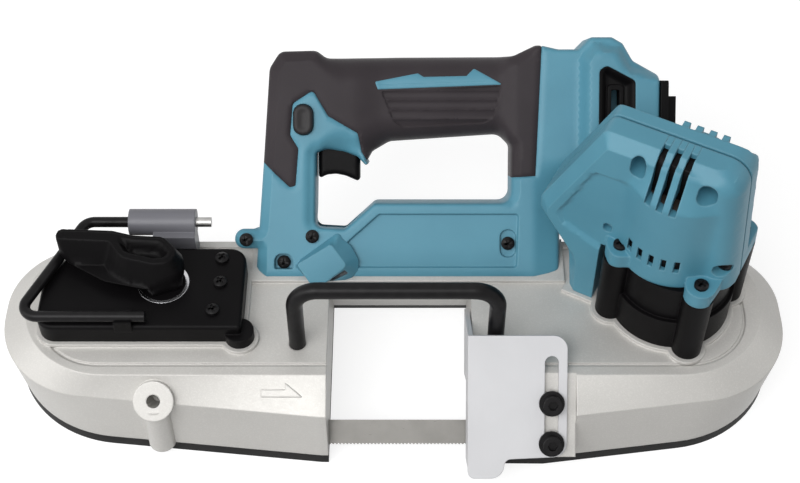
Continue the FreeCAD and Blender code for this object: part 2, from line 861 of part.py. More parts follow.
def toothed_run():
    count = int((cut_right_x - cut_left_x) / dim.tooth_pitch)
    pitch = (cut_right_x - cut_left_x) / count
    spots = [vector(x, y) for x, y in ((cut_right_x, -blade_half), (cut_right_x, blade_half),
                                       (cut_left_x, blade_half))]
    for tooth in range(count):
        x = cut_left_x + tooth * pitch
        spots += [vector(x, -blade_half), vector(x + pitch / 3, dim.tooth_depth - blade_half)]
    run = Part.Face(Part.makePolygon(spots + spots[:1])).extrude(vector(0, 0, dim.blade_thickness))
    run.translate(vector(0, 0, -dim.blade_thickness / 2))
    run.Placement = FreeCAD.Placement(vector(0, -dim.cut_y, dim.cut_z), cut_turn).multiply(run.Placement)
    return run


back_corner = vector(-dim.wheel_x, blade_radius - dim.blade_thickness / 2, dim.wheel_z - blade_half)
back_run = Part.makeBox(2 * dim.wheel_x, dim.blade_thickness, dim.blade_width, back_corner)
blade_parts = [wheel_wrap(-dim.wheel_x, cut_left_x), wheel_wrap(dim.wheel_x, cut_right_x),
               twisted_run(-dim.wheel_x, cut_left_x), twisted_run(dim.wheel_x, cut_right_x), toothed_run()]
make_feature("saw_blade", back_run.fuse(blade_parts))

# Blade guides: a bracket with two face rollers and one back-up roller on each side of the throat
arm_low = "(Dims.blade_width / 2 + Dims.guide_arm_gap)"
for side, guide_x, inward in (("left", "-(Dims.throat_left + Dims.wall + Dims.guide_reach)", 1),
                              ("right", "Dims.throat_right + Dims.wall + Dims.guide_reach", -1)):
    spot = (guide_x, "-Dims.cut_y", "Dims.cut_z", cut_turn)
    bracket = make_body(f"guide_bracket_{side}", *spot)
    ends = sorted((inward * dim.guide_reach, -inward * (dim.guide_pitch + dim.guide_tail)))
    pad(bracket, draw(bracket, [outline(box_corners(ends[0], dim.guide_low, ends[1], dim.guide_high))],
                      "-Dims.guide_back"), "Dims.guide_thickness", reverse=True)
    arm_up = dim.blade_width / 2 + dim.guide_arm_gap
    arm = box_corners(-dim.guide_arm_half, arm_up, dim.guide_arm_half, arm_up + dim.guide_arm)
    pad(bracket, draw(bracket, [outline(arm)], "-Dims.guide_back"), "Dims.guide_back + Dims.guide_arm_front")
    roller_front = dim.blade_thickness / 2 + dim.roller_gap + dim.roller_radius
    pins = [circle(0, -front, dim.roller_pin_radius) for front in (-roller_front, roller_front)]
    pad(bracket, draw(bracket, pins, f"-{arm_low}", "XZ_Plane"), arm_low)
    backup_up = dim.blade_width / 2 + dim.roller_gap + dim.backup_radius
    backup_x = -inward * dim.guide_pitch
    pad(bracket, draw(bracket, [circle(backup_x, backup_up, dim.backup_pin_radius)], "-Dims.guide_back"),
        "Dims.guide_back + Dims.backup_thickness / 2")
    for place, front in (("rear", roller_front), ("front", -roller_front)):
        roller = make_body(f"face_roller_{side}_{place}", *spot)
        roller_bore = dim.roller_pin_radius + dim.roller_fit
        ring = [circle(0, -front, radius) for radius in (dim.roller_radius, roller_bore)]
        pad(roller, draw(roller, ring, "-Dims.roller_length", "XZ_Plane"), "Dims.roller_length")
    backup = make_body(f"backup_roller_{side}", *spot)
    ring = [circle(backup_x, backup_up, dim.backup_radius),
            circle(backup_x, backup_up, dim.backup_pin_radius + dim.roller_fit)]
    pad(backup, draw(backup, ring), "Dims.backup_thickness", middle=True)

# Stop plate: a slotted face plate with a return flange beside the cut
plate = make_body("stop_plate", "0", "-Dims.cut_y", "Dims.cut_z", cut_turn)
plate_left_x = dim.throat_right - dim.plate_side_gap - dim.plate_thickness
plate_back = dim.pad_front + dim.plate_gap
plate_face = [
    (plate_left_x, -dim.plate_tip, dim.plate_corner / 2),
    (dim.plate_tip_right_x, -dim.plate_tip, dim.plate_corner),
    (dim.plate_tip_right_x, -dim.plate_low - dim.plate_step, dim.plate_corner / 2),
    (dim.plate_right_x, -dim.plate_low, dim.plate_corner),
    (dim.plate_right_x, dim.plate_top, dim.plate_corner),
    (plate_left_x, dim.plate_top),
]
plate_slot = stadium(dim.plate_slot_x, (dim.plate_slot_high - dim.plate_slot_low) / 2, dim.plate_slot_half,
                     (dim.plate_slot_high + dim.plate_slot_low) / 2 + dim.plate_slot_half)
plate_sketch = draw(plate, [outline(plate_face), plate_slot], "Dims.pad_front + Dims.plate_gap")
pad(plate, plate_sketch, "Dims.plate_thickness")
flange = [
    (-dim.flange_low, plate_back),
    (-dim.flange_low, dim.flange_notch_front),
    (dim.flange_notch_high, dim.flange_notch_front),
    (dim.flange_notch_high, -dim.flange_back),
    (dim.flange_back_top, -dim.flange_back),
    (dim.plate_top, plate_back),
]
pad(plate, draw(plate, [outline(flange)], "Dims.throat_right - Dims.plate_side_gap - Dims.plate_thickness",
                "YZ_Plane"), "Dims.plate_thickness")



def make_bolt(up):
    # Washer, shank and a head with a hexagonal socket
    seat = plate_back + dim.plate_thickness + dim.plate_gap
    shank_foot = dim.pad_front - dim.bolt_depth
    crown = seat + dim.washer_thickness + dim.bolt_head_height
    spot = vector(dim.plate_slot_x, up)
    along = vector(0, 0, 1)
    washer = Part.makeCylinder(dim.washer_radius, dim.washer_thickness, spot + along * seat)
    head_foot = spot + along * (seat + dim.washer_thickness)
    head = Part.makeCylinder(dim.bolt_head_radius, dim.bolt_head_height, head_foot)
    shank = Part.makeCylinder(dim.bolt_shank_radius, seat - shank_foot, spot + along * shank_foot)
    corners = [spot + vector(x, y, crown) for x, y in ring_spots(6, dim.bolt_socket_radius)]
    socket = Part.Face(Part.makePolygon(corners + corners[:1])).extrude(along * -dim.bolt_socket_depth)
    return washer.fuse([head, shank]).removeSplitter().cut(socket)


bolts = [make_bolt(up) for up in bolt_heights]
make_feature("stop_plate_bolts", Part.makeCompound(bolts), 0, -dim.cut_y, dim.cut_z, cut_turn)

# Guard rod: a bent rod with both feet in the deck
rod = make_body("guard_rod", "0", "-Dims.guard_y")
foot_z = dim.deck_z - dim.guard_depth
left, right, top, bend = -dim.guard_left_x, dim.guard_right_x, dim.guard_top_z, dim.guard_bend
corner_z = vector(0, 0, 1)
path = [
    Part.LineSegment(vector(left, foot_z), vector(left, top - bend)),
    Part.ArcOfCircle(Part.Circle(vector(left + bend, top - bend), corner_z, bend), math.pi / 2, math.pi),
    Part.LineSegment(vector(left + bend, top), vector(right - bend, top)),
    Part.ArcOfCircle(Part.Circle(vector(right - bend, top - bend), corner_z, bend), 0, math.pi / 2),
    Part.LineSegment(vector(right, top - bend), vector(right, foot_z)),
]
spine = draw(rod, [path], plane="XZ_Plane")
section = draw(rod, [circle(left, 0, dim.guard_radius)], "Dims.deck_z - Dims.guard_depth")
pipe = rod.newObject("PartDesign::AdditivePipe", "Pipe")
pipe.Profile = section
pipe.Spine = (spine, [f"Edge{number}" for number in range(1, len(path) + 1)])
doc.recompute()


# Tension cover over the carriage, seated on a raised rim of the deck
seat_z = "Dims.deck_z + Dims.seat_height"
cover_corners = [
    (-dim.cover_left_x, -dim.cover_front_y, dim.cover_corner),
    (-dim.cover_right_x, -dim.cover_front_y, dim.cover_edge),
    (-dim.cover_right_x, dim.cover_back_y, dim.cover_corner),
    (-dim.cover_left_x + dim.cover_slant, dim.cover_back_y, dim.cover_corner),
    (-dim.cover_left_x, dim.cover_back_y - dim.cover_slant_depth, dim.cover_corner),
]
cover_seat = [outline(inset(cover_corners, step)) for step in (-dim.seat_margin, dim.cover_wall)]
pad(frame, draw(frame, cover_seat, "Dims.deck_z"), "Dims.seat_height")
pad(frame, draw(frame, [circle(-dim.lug_x, -dim.lug_y, dim.lug_radius + dim.seat_margin)], "Dims.deck_z"),
    "Dims.seat_height")
cover = make_body("tension_cover")
pad(cover, draw(cover, [outline(cover_corners)], seat_z), "Dims.cover_height")
cover_top = dim.deck_z + dim.seat_height + dim.cover_height
soften(cover, lambda edge: level_edge(edge, cover_top), "Dims.cover_edge")
pad(cover, draw(cover, [circle(-dim.lug_x, -dim.lug_y, dim.lug_radius)], seat_z), "Dims.lug_height")
pocket(cover, draw(cover, [outline(inset(cover_corners, dim.cover_wall))], seat_z),
       "Dims.cover_height - Dims.cover_wall", reverse=True)
shaft_hole = circle(-dim.lever_x, dim.lever_y, dim.lever_shaft_radius + dim.lever_shaft_fit)
pocket(cover, draw(cover, [shaft_hole], seat_z), "2 * Dims.cover_height", reverse=True)

# Snap clip for the hook's free arm on the cover's front edge
clip_seat = "Dims.hook_z - Dims.hook_radius - Dims.clip_gap"
clip_half = dim.hook_radius + dim.clip_gap
clip_left, clip_right = -dim.clip_x - dim.clip_width / 2, -dim.clip_x + dim.clip_width / 2
clip_front, clip_back = -dim.hook_front_y - clip_half, -dim.hook_front_y + clip_half
pad(cover, draw(cover, [
    outline(box_corners(clip_left, clip_front - dim.clip_wall, clip_right, clip_front)),
    outline(box_corners(clip_left, clip_back, clip_right, clip_back + dim.clip_wall)),
], f"{seat_z} + Dims.cover_height - Dims.cover_wall"),
    f"Dims.hook_z - ({seat_z} + Dims.cover_height - Dims.cover_wall)")

ring_inner = dim.lever_hub_radius + dim.lever_gap
make_ring("lever_ring", "-Dims.lever_x", "Dims.lever_y", f"{seat_z} + Dims.cover_height", ring_inner,
          ring_inner + dim.ring_width, "Dims.ring_height")

# Tension lever with its shaft and eccentric cam, drawn about its own axis
lever_seat = f"{seat_z} + Dims.cover_height + Dims.lever_gap"
lever = make_body("tension_lever", "-Dims.lever_x", "Dims.lever_y")
lever_front, lever_back = -dim.lever_front_y - dim.lever_y, dim.lever_back_y - dim.lever_y
step_x, tip_x = dim.lever_x - dim.lever_step_x, dim.lever_x - dim.lever_tip_x
waist = [
    (step_x - dim.lever_overlap, lever_front, dim.lever_step_corner),
    (dim.lever_hub_radius, lever_front, dim.lever_hub_radius),
    (dim.lever_hub_radius, dim.lever_waist_y - dim.lever_y, dim.lever_hub_radius),
    (step_x - dim.lever_overlap, dim.lever_waist_y - dim.lever_y, dim.lever_step_corner),
]
paddle = [
    (tip_x, dim.lever_y, dim.lever_corner),
    (tip_x + dim.lever_nose_run, lever_front, dim.lever_nose_corner),
    (step_x + dim.lever_step_slant, lever_front, dim.lever_step_corner),
    (step_x, lever_back, dim.lever_corner),
    (dim.lever_x - dim.lever_tip_back_x, lever_back, dim.lever_corner),
]
pad(lever, draw(lever, [circle(0, 0, dim.lever_hub_radius)], lever_seat), "Dims.lever_hub_height")
pad(lever, draw(lever, [outline(waist)], f"{lever_seat} + Dims.paddle_lift"),
    "Dims.lever_hub_height - Dims.paddle_lift")
pad(lever, draw(lever, [outline(paddle)], f"{lever_seat} + Dims.paddle_lift"), "Dims.paddle_height")
paddle_top = cover_top + dim.lever_gap + dim.paddle_lift + dim.paddle_height
soften(lever, lambda edge: level_edge(edge, paddle_top), "Dims.cover_edge")
cam_top = f"{seat_z} + Dims.cover_height - Dims.cover_wall - Dims.lever_gap"
pad(lever, draw(lever, [circle(0, 0, dim.lever_shaft_radius)], lever_seat),
    f"{lever_seat} - ({cam_top})", reverse=True)
cam = circle(-dim.carriage_travel / 2, 0, dim.cam_radius)
pad(lever, draw(lever, [cam], cam_top), "Dims.cam_height", reverse=True)

# Follower post of the carriage, reached by a tongue under the cam
post_x = dim.wheel_x - dim.lever_x + dim.cam_radius - dim.carriage_travel / 2 + dim.cam_gap
post_end = post_x + dim.cam_post_width
tongue = box_corners(0, -dim.yoke_half_width, post_end, dim.yoke_half_width, dim.carriage_corner)
pad(carriage, draw(carriage, [outline(tongue)], "Dims.deck_z + Dims.carriage_gap"), "Dims.yoke_height")
post = box_corners(post_x, -dim.cam_radius, post_end, dim.cam_radius)
pad(carriage, draw(carriage, [outline(post)], "Dims.deck_z + Dims.carriage_gap"),
    f"{cam_top} - Dims.deck_z - Dims.carriage_gap")


# Coil springs: one round wire on a helix of smooth arcs

def biarc(start, leave, end, arrive):
    # Two arcs that join two points with the given directions
    chord = end - start
    total = leave + arrive
    spread = 2 * (1 - leave.dot(arrive))
    along = chord.dot(total)
    reach = (math.sqrt(along * along + spread * chord.dot(chord)) - along) / spread
    middle = (start + end + (leave - arrive) * reach) * 0.5
    arcs = []
    for first, last, peak in ((start, middle, start + leave * reach), (middle, end, end - arrive * reach)):
        centre = (first + last) * 0.5
        half_chord = (last - first).Length / 2
        rise = (peak - centre).Length
        bulge = half_chord * math.tan(math.atan2(rise, half_chord) / 2)
        arcs.append(Part.Arc(first, centre + (peak - centre) * (bulge / rise), last).toShape())
    return arcs


def coil(radius, length, turns, wire):
    # A spring along +X from zero; also prints the least gap between its turns
    quarters = int(turns) * 4
    pitch = (length - 2 * wire) / turns

    def spot(step):
        turn = step * math.pi / 2
        return vector(wire + pitch * step / 4, radius * math.cos(turn), radius * math.sin(turn))

    def heading(step):
        turn = step * math.pi / 2
        return vector(pitch / (2 * math.pi), -radius * math.sin(turn), radius * math.cos(turn)).normalize()

    edges = []
    for step in range(quarters):
        edges += biarc(spot(step), heading(step), spot(step + 1), heading(step + 1))
    print("least gap between turns", round(pitch - 2 * wire, 3))
    section = Part.Wire(Part.makeCircle(wire, spot(0), heading(0)))
    return Part.Wire(edges).makePipeShell([section], True, False)


spring_start = -dim.wheel_x + dim.carriage_half_length + dim.carriage_gap
make_feature("tension_spring", coil(dim.spring_radius, -dim.spring_end_x - spring_start - dim.carriage_gap,
                                    dim.spring_turns, dim.spring_wire), spring_start, 0, dim.spring_z)
lug_half = dim.spring_radius + dim.wall
spring_lug = box_corners(-dim.spring_end_x, -lug_half, -dim.spring_end_x + dim.spring_lug_length, lug_half)
pad(frame, draw(frame, [outline(spring_lug)], "Dims.carriage_low_z"), "Dims.deck_z - Dims.carriage_low_z")

# Hanging hook in its holder behind the cover
holder = make_body("hook_holder", "-Dims.holder_left_x", "Dims.hook_y", "Dims.hook_z")
pad(holder, draw(holder, [circle(0, 0, dim.holder_radius)], plane="YZ_Plane"),
    "Dims.holder_left_x - Dims.holder_right_x")
foot_right = dim.holder_left_x - dim.holder_right_x
foot = box_corners(foot_right - dim.holder_foot_length, -dim.holder_foot_width, foot_right, 0)
pad(holder, draw(holder, [outline(foot)], "Dims.deck_z - Dims.hook_z"), "Dims.hook_z - Dims.deck_z")
pocket(holder, draw(holder, [circle(0, 0, dim.hook_radius + dim.hook_fit)], plane="YZ_Plane"),
       "Dims.holder_left_x - Dims.holder_right_x - Dims.holder_wall", reverse=True)
hook_pin = make_body("hook_pin", "-Dims.holder_right_x", "Dims.hook_y", "Dims.hook_z")
pad(hook_pin, draw(hook_pin, [circle(0, 0, dim.pin_radius)], plane="YZ_Plane"), "Dims.pin_length")

hook = make_body("hanging_hook", "0", "0", "Dims.hook_z")
hook_route = [
    vector(-dim.holder_right_x - dim.holder_wall - dim.carriage_gap, dim.hook_y),
    vector(-dim.hook_bend_x, dim.hook_y),
    vector(-dim.hook_corner_x, -dim.hook_front_y),
    vector(-dim.hook_end_x, -dim.hook_front_y),
]


def rounded_path(spots, radius):
    # Open chain of lines joined by arcs of one radius
    chain = []
    begin = spots[0]
    for last, here, after in zip(spots, spots[1:], spots[2:]):
        to_last, to_next = (last - here).normalize(), (after - here).normalize()
        half = to_last.getAngle(to_next) / 2
        run = radius / math.tan(half)
        centre = here + (to_last + to_next).normalize() * (radius / math.sin(half))
        start, end = here + to_last * run, here + to_next * run
        angles = [math.atan2(spot.y - centre.y, spot.x - centre.x) for spot in (start, end)]
        if to_last.cross(to_next).z > 0:
            angles.reverse()
        chain.append(Part.LineSegment(begin, start))
        chain.append(Part.ArcOfCircle(Part.Circle(centre, vector(0, 0, 1), radius), *angles))
        begin = end
    chain.append(Part.LineSegment(begin, spots[-1]))
    return chain


hook_path = rounded_path(hook_route, dim.hook_bend)
hook_spine = draw(hook, [hook_path])
hook_section = draw(hook, [circle(dim.hook_y, 0, dim.hook_radius)],
                    "-Dims.holder_right_x - Dims.holder_wall - Dims.carriage_gap", "YZ_Plane")
pipe = hook.newObject("PartDesign::AdditivePipe", "Pipe")
pipe.Profile = hook_section
pipe.Spine = (hook_spine, [f"Edge{number}" for number in range(1, len(hook_path) + 1)])
doc.recompute()

# Gear housing on the drive side
lobe_spots = ring_spots(dim.lobe_count, dim.lobe_circle, math.radians(dim.lobe_angle))
ring_outer = dim.gear_radius - dim.gear_wall
gear_seat = [circle(dim.wheel_x, 0, radius) for radius in (dim.gear_radius + dim.seat_margin, ring_outer)]
pad(frame, draw(frame, gear_seat, "Dims.deck_z"), "Dims.seat_height")
for spot_x, spot_y in lobe_spots:
    lobe_seat = circle(dim.wheel_x + spot_x, spot_y, dim.lobe_radius + dim.seat_margin)
    pad(frame, draw(frame, [lobe_seat], "Dims.deck_z"), "Dims.seat_height")
gear_case = make_body("gear_housing", "Dims.wheel_x", "0", seat_z)
pad(gear_case, draw(gear_case, [circle(0, 0, dim.gear_radius)]), "Dims.gear_ledge_height")
pad(gear_case, draw(gear_case, [circle(0, 0, dim.gear_upper_radius)]), "Dims.gear_height")
for spot_x, spot_y in lobe_spots:
    pad(gear_case, draw(gear_case, [circle(spot_x, spot_y, dim.lobe_radius)]), "Dims.gear_height")
pocket(gear_case, draw(gear_case, [circle(0, 0, ring_outer)]),
       "Dims.carrier_lift + Dims.carrier_thickness + Dims.planet_height + 3 * Dims.gear_gap", reverse=True)
pocket(gear_case, draw(gear_case, [circle(0, 0, dim.motor_bearing_radius)], "Dims.gear_height"),
       "2 * Dims.gear_height")

# Planetary reduction: sun on the rotor shaft, planets on the carrier, ring gear fixed in the housing
ring_teeth = dim.sun_teeth + 2 * dim.planet_teeth
carrier_circle = dim.gear_module * (dim.sun_teeth + dim.planet_teeth) / 2
pressure = math.tan(math.radians(dim.pressure_angle))


def tooth_chain(teeth, inner, phase=0.0):
    # Straight-flanked teeth; an inner gear has its teeth pointing to the axis
    pitch_radius = dim.gear_module * teeth / 2
    half = dim.gear_module * math.pi / 4 * (1 - dim.gear_backlash)
    tip, root = (-dim.tooth_tip, dim.tooth_root) if inner else (dim.tooth_tip, -dim.tooth_root)
    spots = []
    for tooth in range(int(teeth)):
        middle = phase + 2 * math.pi * tooth / teeth
        for side, depth in ((-1, root), (-1, tip), (1, tip), (1, root)):
            radius = pitch_radius + depth * dim.gear_module
            width = half - abs(depth) * dim.gear_module * pressure * (1 if depth * tip > 0 else -1)
            angle = middle + side * width / radius
            spots.append(vector(radius * math.cos(angle), radius * math.sin(angle)))
    return Part.makePolygon(spots + spots[:1])


def extruded(wires, low, height):
    face = Part.makeFace(wires, "Part::FaceMakerBullseye")
    face.translate(vector(0, 0, low))
    return face.extrude(vector(0, 0, height))


gear_base = dim.deck_z + dim.seat_height
carrier_top = dim.carrier_lift + dim.carrier_thickness
ring_blank = Part.Wire(Part.makeCircle(ring_outer))
make_feature("ring_gear", extruded([ring_blank, tooth_chain(ring_teeth, True)], carrier_top,
                                   dim.planet_height + 2 * dim.gear_gap), dim.wheel_x, 0, gear_base)
planet_spots = ring_spots(dim.planet_count, carrier_circle)
for number, (spot_x, spot_y) in enumerate(planet_spots, start=1):
    bore = Part.Wire(Part.makeCircle(dim.planet_pin_radius + dim.planet_fit))
    teeth = tooth_chain(dim.planet_teeth, False, math.atan2(spot_y, spot_x) + math.pi / dim.planet_teeth)
    planet = extruded([teeth, bore], carrier_top + dim.gear_gap, dim.planet_height)
    make_feature(f"planet_gear_{number}", planet, dim.wheel_x + spot_x, spot_y, gear_base)

spindle = make_body("drive_spindle", "Dims.wheel_x")
spindle_low = "Dims.wheel_z - Dims.hub_length / 2"
pad(spindle, draw(spindle, [circle(0, 0, dim.spindle_radius)], spindle_low),
    f"{seat_z} + Dims.carrier_lift - ({spindle_low})")
pad(spindle, draw(spindle, [circle(0, 0, dim.carrier_radius)], f"{seat_z} + Dims.carrier_lift"),
    "Dims.carrier_thickness")
pad(spindle, draw(spindle, [circle(x, y, dim.planet_pin_radius) for x, y in planet_spots],
                  f"{seat_z} + Dims.carrier_lift"),
    "Dims.carrier_thickness + Dims.planet_height + Dims.gear_gap")
bearings = []
for low in (dim.spindle_boss_low_z, dim.deck_z - dim.spindle_bearing_width):
    ring = Part.makeCylinder(dim.spindle_bearing_outer, dim.spindle_bearing_width, vector(0, 0, low))
    bearings.append(ring.cut(Part.makeCylinder(dim.spindle_radius + dim.spindle_fit, dim.deck_z)))
make_feature("spindle_bearings", Part.makeCompound(bearings), dim.wheel_x)

# Motor: rotor with sun gear, fan, stator and bearings
motor_base = gear_base + dim.gear_height
rotor_low = motor_base + dim.rotor_lift
shaft_top = motor_base + dim.motor_cavity_height + dim.motor_bearing_width
sun_low = gear_base + carrier_top + dim.gear_gap
sun = extruded([tooth_chain(dim.sun_teeth, False)], sun_low, dim.planet_height)
shaft = Part.makeCylinder(dim.shaft_radius, shaft_top - sun_low, vector(0, 0, sun_low))
core = Part.makeCylinder(dim.rotor_radius, dim.rotor_height, vector(0, 0, rotor_low))
make_feature("rotor", sun.fuse([shaft, core]).removeSplitter(), dim.wheel_x)
fan_low = motor_base + dim.fan_lift
fan_blades = []
for step in range(int(dim.fan_blades)):
    blade = Part.makeBox(dim.fan_radius - dim.fan_hub_radius / 2, dim.fan_blade_thickness, dim.fan_height,
                         vector(dim.fan_hub_radius / 2, -dim.fan_blade_thickness / 2, fan_low))
    blade.rotate(vector(0, 0), vector(0, 0, 1), 360 * step / dim.fan_blades)
    fan_blades.append(blade)
fan_disc = Part.makeCylinder(dim.fan_radius, dim.fan_disc_thickness, vector(0, 0, fan_low))
fan_hub = Part.makeCylinder(dim.fan_hub_radius, dim.fan_height, vector(0, 0, fan_low))
fan_bore = Part.makeCylinder(dim.shaft_radius, 3 * dim.fan_height, vector(0, 0, fan_low - dim.fan_height))
make_feature("motor_fan", fan_disc.fuse(fan_blades + [fan_hub]).removeSplitter().cut(fan_bore), dim.wheel_x)
stator_ring = Part.makeCylinder(dim.stator_radius, dim.rotor_height, vector(0, 0, rotor_low))
stator_bore = Part.makeCylinder(dim.rotor_radius + dim.stator_gap, 2 * rotor_low)
make_feature("stator", stator_ring.cut(stator_bore), dim.wheel_x)
motor_bearings = []
for low in (motor_base - dim.motor_bearing_width, shaft_top - dim.motor_bearing_width):
    ring = Part.makeCylinder(dim.motor_bearing_radius, dim.motor_bearing_width, vector(0, 0, low))
    motor_bearings.append(ring.cut(Part.makeCylinder(dim.shaft_radius + dim.shaft_fit, 2 * motor_base)))
make_feature("motor_bearings", Part.makeCompound(motor_bearings), dim.wheel_x)

# Motor housing in two halves, turned about the drive axis
motor_turn = turned(vector(0, 0, 1), -dim.motor_turn)
handle_turn = turned(vector(1, 0, 0), 90.0 - dim.handle_lean)
handle_place = FreeCAD.Placement(vector(0, dim.handle_y + datum_y, dim.deck_z), handle_turn)
motor_z = f"{seat_z} + Dims.gear_height"


def mirrored(corners, side):
    # Corners reflected to the front (side -1) or left as they are (side 1), kept counter-clockwise
    flipped = [(corner[0], side * corner[1], *corner[2:]) for corner in corners]
    return flipped if side > 0 else flipped[::-1]


# Front view of the motor: the roof slopes down on the left to a wing that stands on the deck
foot_drop = dim.gear_height
motor_corners = [
    (dim.motor_right, 0),
    (dim.motor_roof_right, dim.motor_height, dim.motor_roof_corner),
    (-dim.motor_roof_left, dim.motor_height, dim.wing_corner),
    (-dim.wing_tip, dim.wing_tip_high, dim.wing_corner),
    (-dim.wing_tip, dim.wing_tip_low, dim.wing_corner),
    (-dim.wing_waist, -dim.wing_waist_drop, 2 * dim.wing_corner),
    (-dim.wing_foot_left, -foot_drop),
    (-dim.wing_foot_right, -foot_drop),
    (-dim.wing_foot_right, 0),
]
wing_panel = [
    (-27.0, 2.0, 2), (-27.0, 51.0, 4), (-44.4, 49.0, 4), (-60.0, 13.0, 4), (-57.0, 6.0, 3), (-34.6, -3.0, 3),
]


def half_disc(radius, side):
    corners = [(radius, 0), (radius, radius, radius), (-radius, radius, radius), (-radius, 0)]
    return outline([(corner[0] - dim.bulge_left, *corner[1:]) for corner in mirrored(corners, side)])


def upright_slots(count, first, pitch, width, low, high):
    slots = []
    for step in range(int(count)):
        left = -first + step * pitch - width / 2
        slots.append(outline(box_corners(left, low, left + width, high)))
    return slots


def finish_motor_front(half):
    # Wing panel, a row of vents over the fan, three slits over the front of the roof and two screw wells
    pocket(half, draw(half, [outline(wing_panel)], "Dims.motor_front", "XZ_Plane"), "Dims.panel_depth")
    vents = upright_slots(dim.vent_count, dim.vent_first, dim.vent_pitch, dim.vent_width, dim.vent_low,
                          dim.vent_low + dim.vent_tall)
    pocket(half, draw(half, vents, "0", "XZ_Plane"), "2 * Dims.bulge_radius", reverse=True)
    slits = upright_slots(dim.slit_count, dim.slit_first, dim.slit_pitch, dim.slit_width, -dim.slit_front,
                          -dim.slit_back)
    pocket(half, draw(half, slits, "Dims.motor_height"), "Dims.slit_depth")
    ovals = [stadium(x, dim.oval_up, dim.oval_radius, dim.oval_radius + dim.oval_stretch)
             for x in (-dim.oval_left, dim.oval_right)]
    pocket(half, draw(half, ovals, "Dims.bulge_radius", "XZ_Plane"),
           "Dims.bulge_radius - Dims.motor_front + Dims.oval_depth")


def bevel_edge(edge, depth):
    # Edges of the outer face, apart from those where the motor and its foot stand
    box = edge.BoundBox
    if abs(abs(box.YMin) - depth) > 1e-4 or abs(abs(box.YMax) - depth) > 1e-4:
        return False
    standing = box.ZLength < 1e-4 and box.ZMax < dim.wing_tip_low
    inner_foot = box.XLength < 1e-4 and abs(box.XMin + dim.wing_foot_right) < 1e-4
    return not standing and not inner_foot


def make_motor_half(label, side, depth):
    half = make_body(label, "Dims.wheel_x", "0", motor_z, motor_turn)
    front = side < 0
    seam = "Dims.motor_seam" if front else "-Dims.motor_seam"
    silhouette = draw(half, [outline(motor_corners)], seam, "XZ_Plane")
    pad(half, silhouette, f"{depth} - Dims.motor_seam", reverse=not front)
    deep = dim.motor_front if front else dim.motor_back
    soften(half, lambda edge: bevel_edge(edge, deep), "Dims.motor_bevel", "Chamfer")
    loft(half, [draw(half, [half_disc(dim.bulge_radius, side)]),
                draw(half, [half_disc(dim.bulge_radius - dim.bulge_draft, side)], "Dims.bulge_shoulder"),
                draw(half, [half_disc(dim.bulge_top_radius, side)], "Dims.bulge_height")])
    lobes = [spot for spot in motor_lobes if spot[1] * side > 0]
    for x, y in lobes:
        pad(half, draw(half, [circle(x, y, dim.lobe_radius)]), "Dims.flange_height")
    pocket(half, draw(half, [circle(x, y, dim.well_radius) for x, y in lobes], "Dims.flange_height"),
           "Dims.well_height", reverse=True)
    if front:
        finish_motor_front(half)
    else:
        comb = upright_slots(dim.slit_count, dim.comb_first, dim.slit_pitch, dim.slit_width, dim.comb_front,
                             dim.slit_front)
        pocket(half, draw(half, comb, "Dims.motor_height"), "Dims.comb_depth")
    clear_plane = half.Placement.inverse().multiply(handle_place)
    behind = box_corners(0, -dim.motor_height, dim.battery_face_x, 2 * dim.motor_height)
    pocket(half, draw(half, [outline(behind)], at=clear_plane), "2 * Dims.motor_height")
    for radius, height in ((dim.motor_cavity_radius, "Dims.motor_cavity_height"),
                           (dim.motor_bearing_radius, "Dims.motor_cavity_height + Dims.motor_bearing_width")):
        pocket(half, draw(half, [circle(0, 0, radius)]), height, reverse=True)


motor_lobes = ring_spots(dim.lobe_count, dim.lobe_circle, math.radians(dim.lobe_angle + dim.motor_turn))
foot_seat = box_corners(-dim.wing_foot_left - dim.seat_margin, -dim.motor_front - dim.seat_margin,
                        -dim.wing_foot_right + dim.seat_margin, dim.seat_margin)
foot_place = FreeCAD.Placement(vector(dim.wheel_x, 0, dim.deck_z), motor_turn)
pad(frame, draw(frame, [outline(foot_seat)], at=foot_place), "Dims.seat_height")
make_motor_half("motor_housing_front", -1, "Dims.motor_front")
make_motor_half("motor_housing_rear", 1, "Dims.motor_back")
motor_screws = make_body("motor_screws", "Dims.wheel_x", "0", f"{motor_z} + Dims.flange_height", motor_turn)

# Handle in two halves, drawn in its own leaning plane: x along the saw, y up the handle, z to the front
panel_corners = [
    (-16.5, 68.7, 1), (-18.5, 78.7, 2), (-33.9, 87.6, 2), (-41.8, 101, 2), (-52.3, 94.1, 3), (-53.7, 77.7, 3),
    (-49.5, 70.7, 3), (-51.1, 51.2, 1), (-54.2, 50.5, 1),
]
handle_corners = [
    (-dim.foot_left_x, -3), (dim.foot_right_x, -3), (dim.foot_right_x, 30, 6), (110, 46, 6),
    (dim.battery_face_x, 46, 3), (dim.battery_face_x, 109, 3), (124.8, 116.4, 4), (119.5, 125.4, 3),
    (113.8, 128.6, 3), (102.7, 128.6, 3), (96.5, 122.3, 2), (86, 122.3, 3), (77.2, 124.3, 1), (74.5, 56.4),
    (dim.window_right_x, 55.5), (dim.window_right_x, dim.bridge_up, 6), (-9.6, dim.bridge_up, 4),
    (-25.4, 28.6, 3), (-dim.window_left_x, 29.5, 4), (-dim.window_left_x, 67.4, 2), (-17, 67.4, 1),
    (-14.4, 64.3, 1), *panel_corners, (-68, 63.5),
]
grip_corners = [
    *panel_corners[::-1], (-13.6, 67.5, 2), (-2, 74.2, 8), (55.5, 78, 8), (dim.window_right_x, 72, 4),
    (dim.window_right_x, 55.5), (74.5, 56.4), (77.2, 124.3, 1), (74, 124.3, 3), (62.6, 118.8, 8),
    (3.6, 118.5, 200), (-34.9, 117.8, 6), (-40, 121.7, 5), (-59, 121.2, 5), (-64.6, 112.5, 8), (-68, 63.5),
]
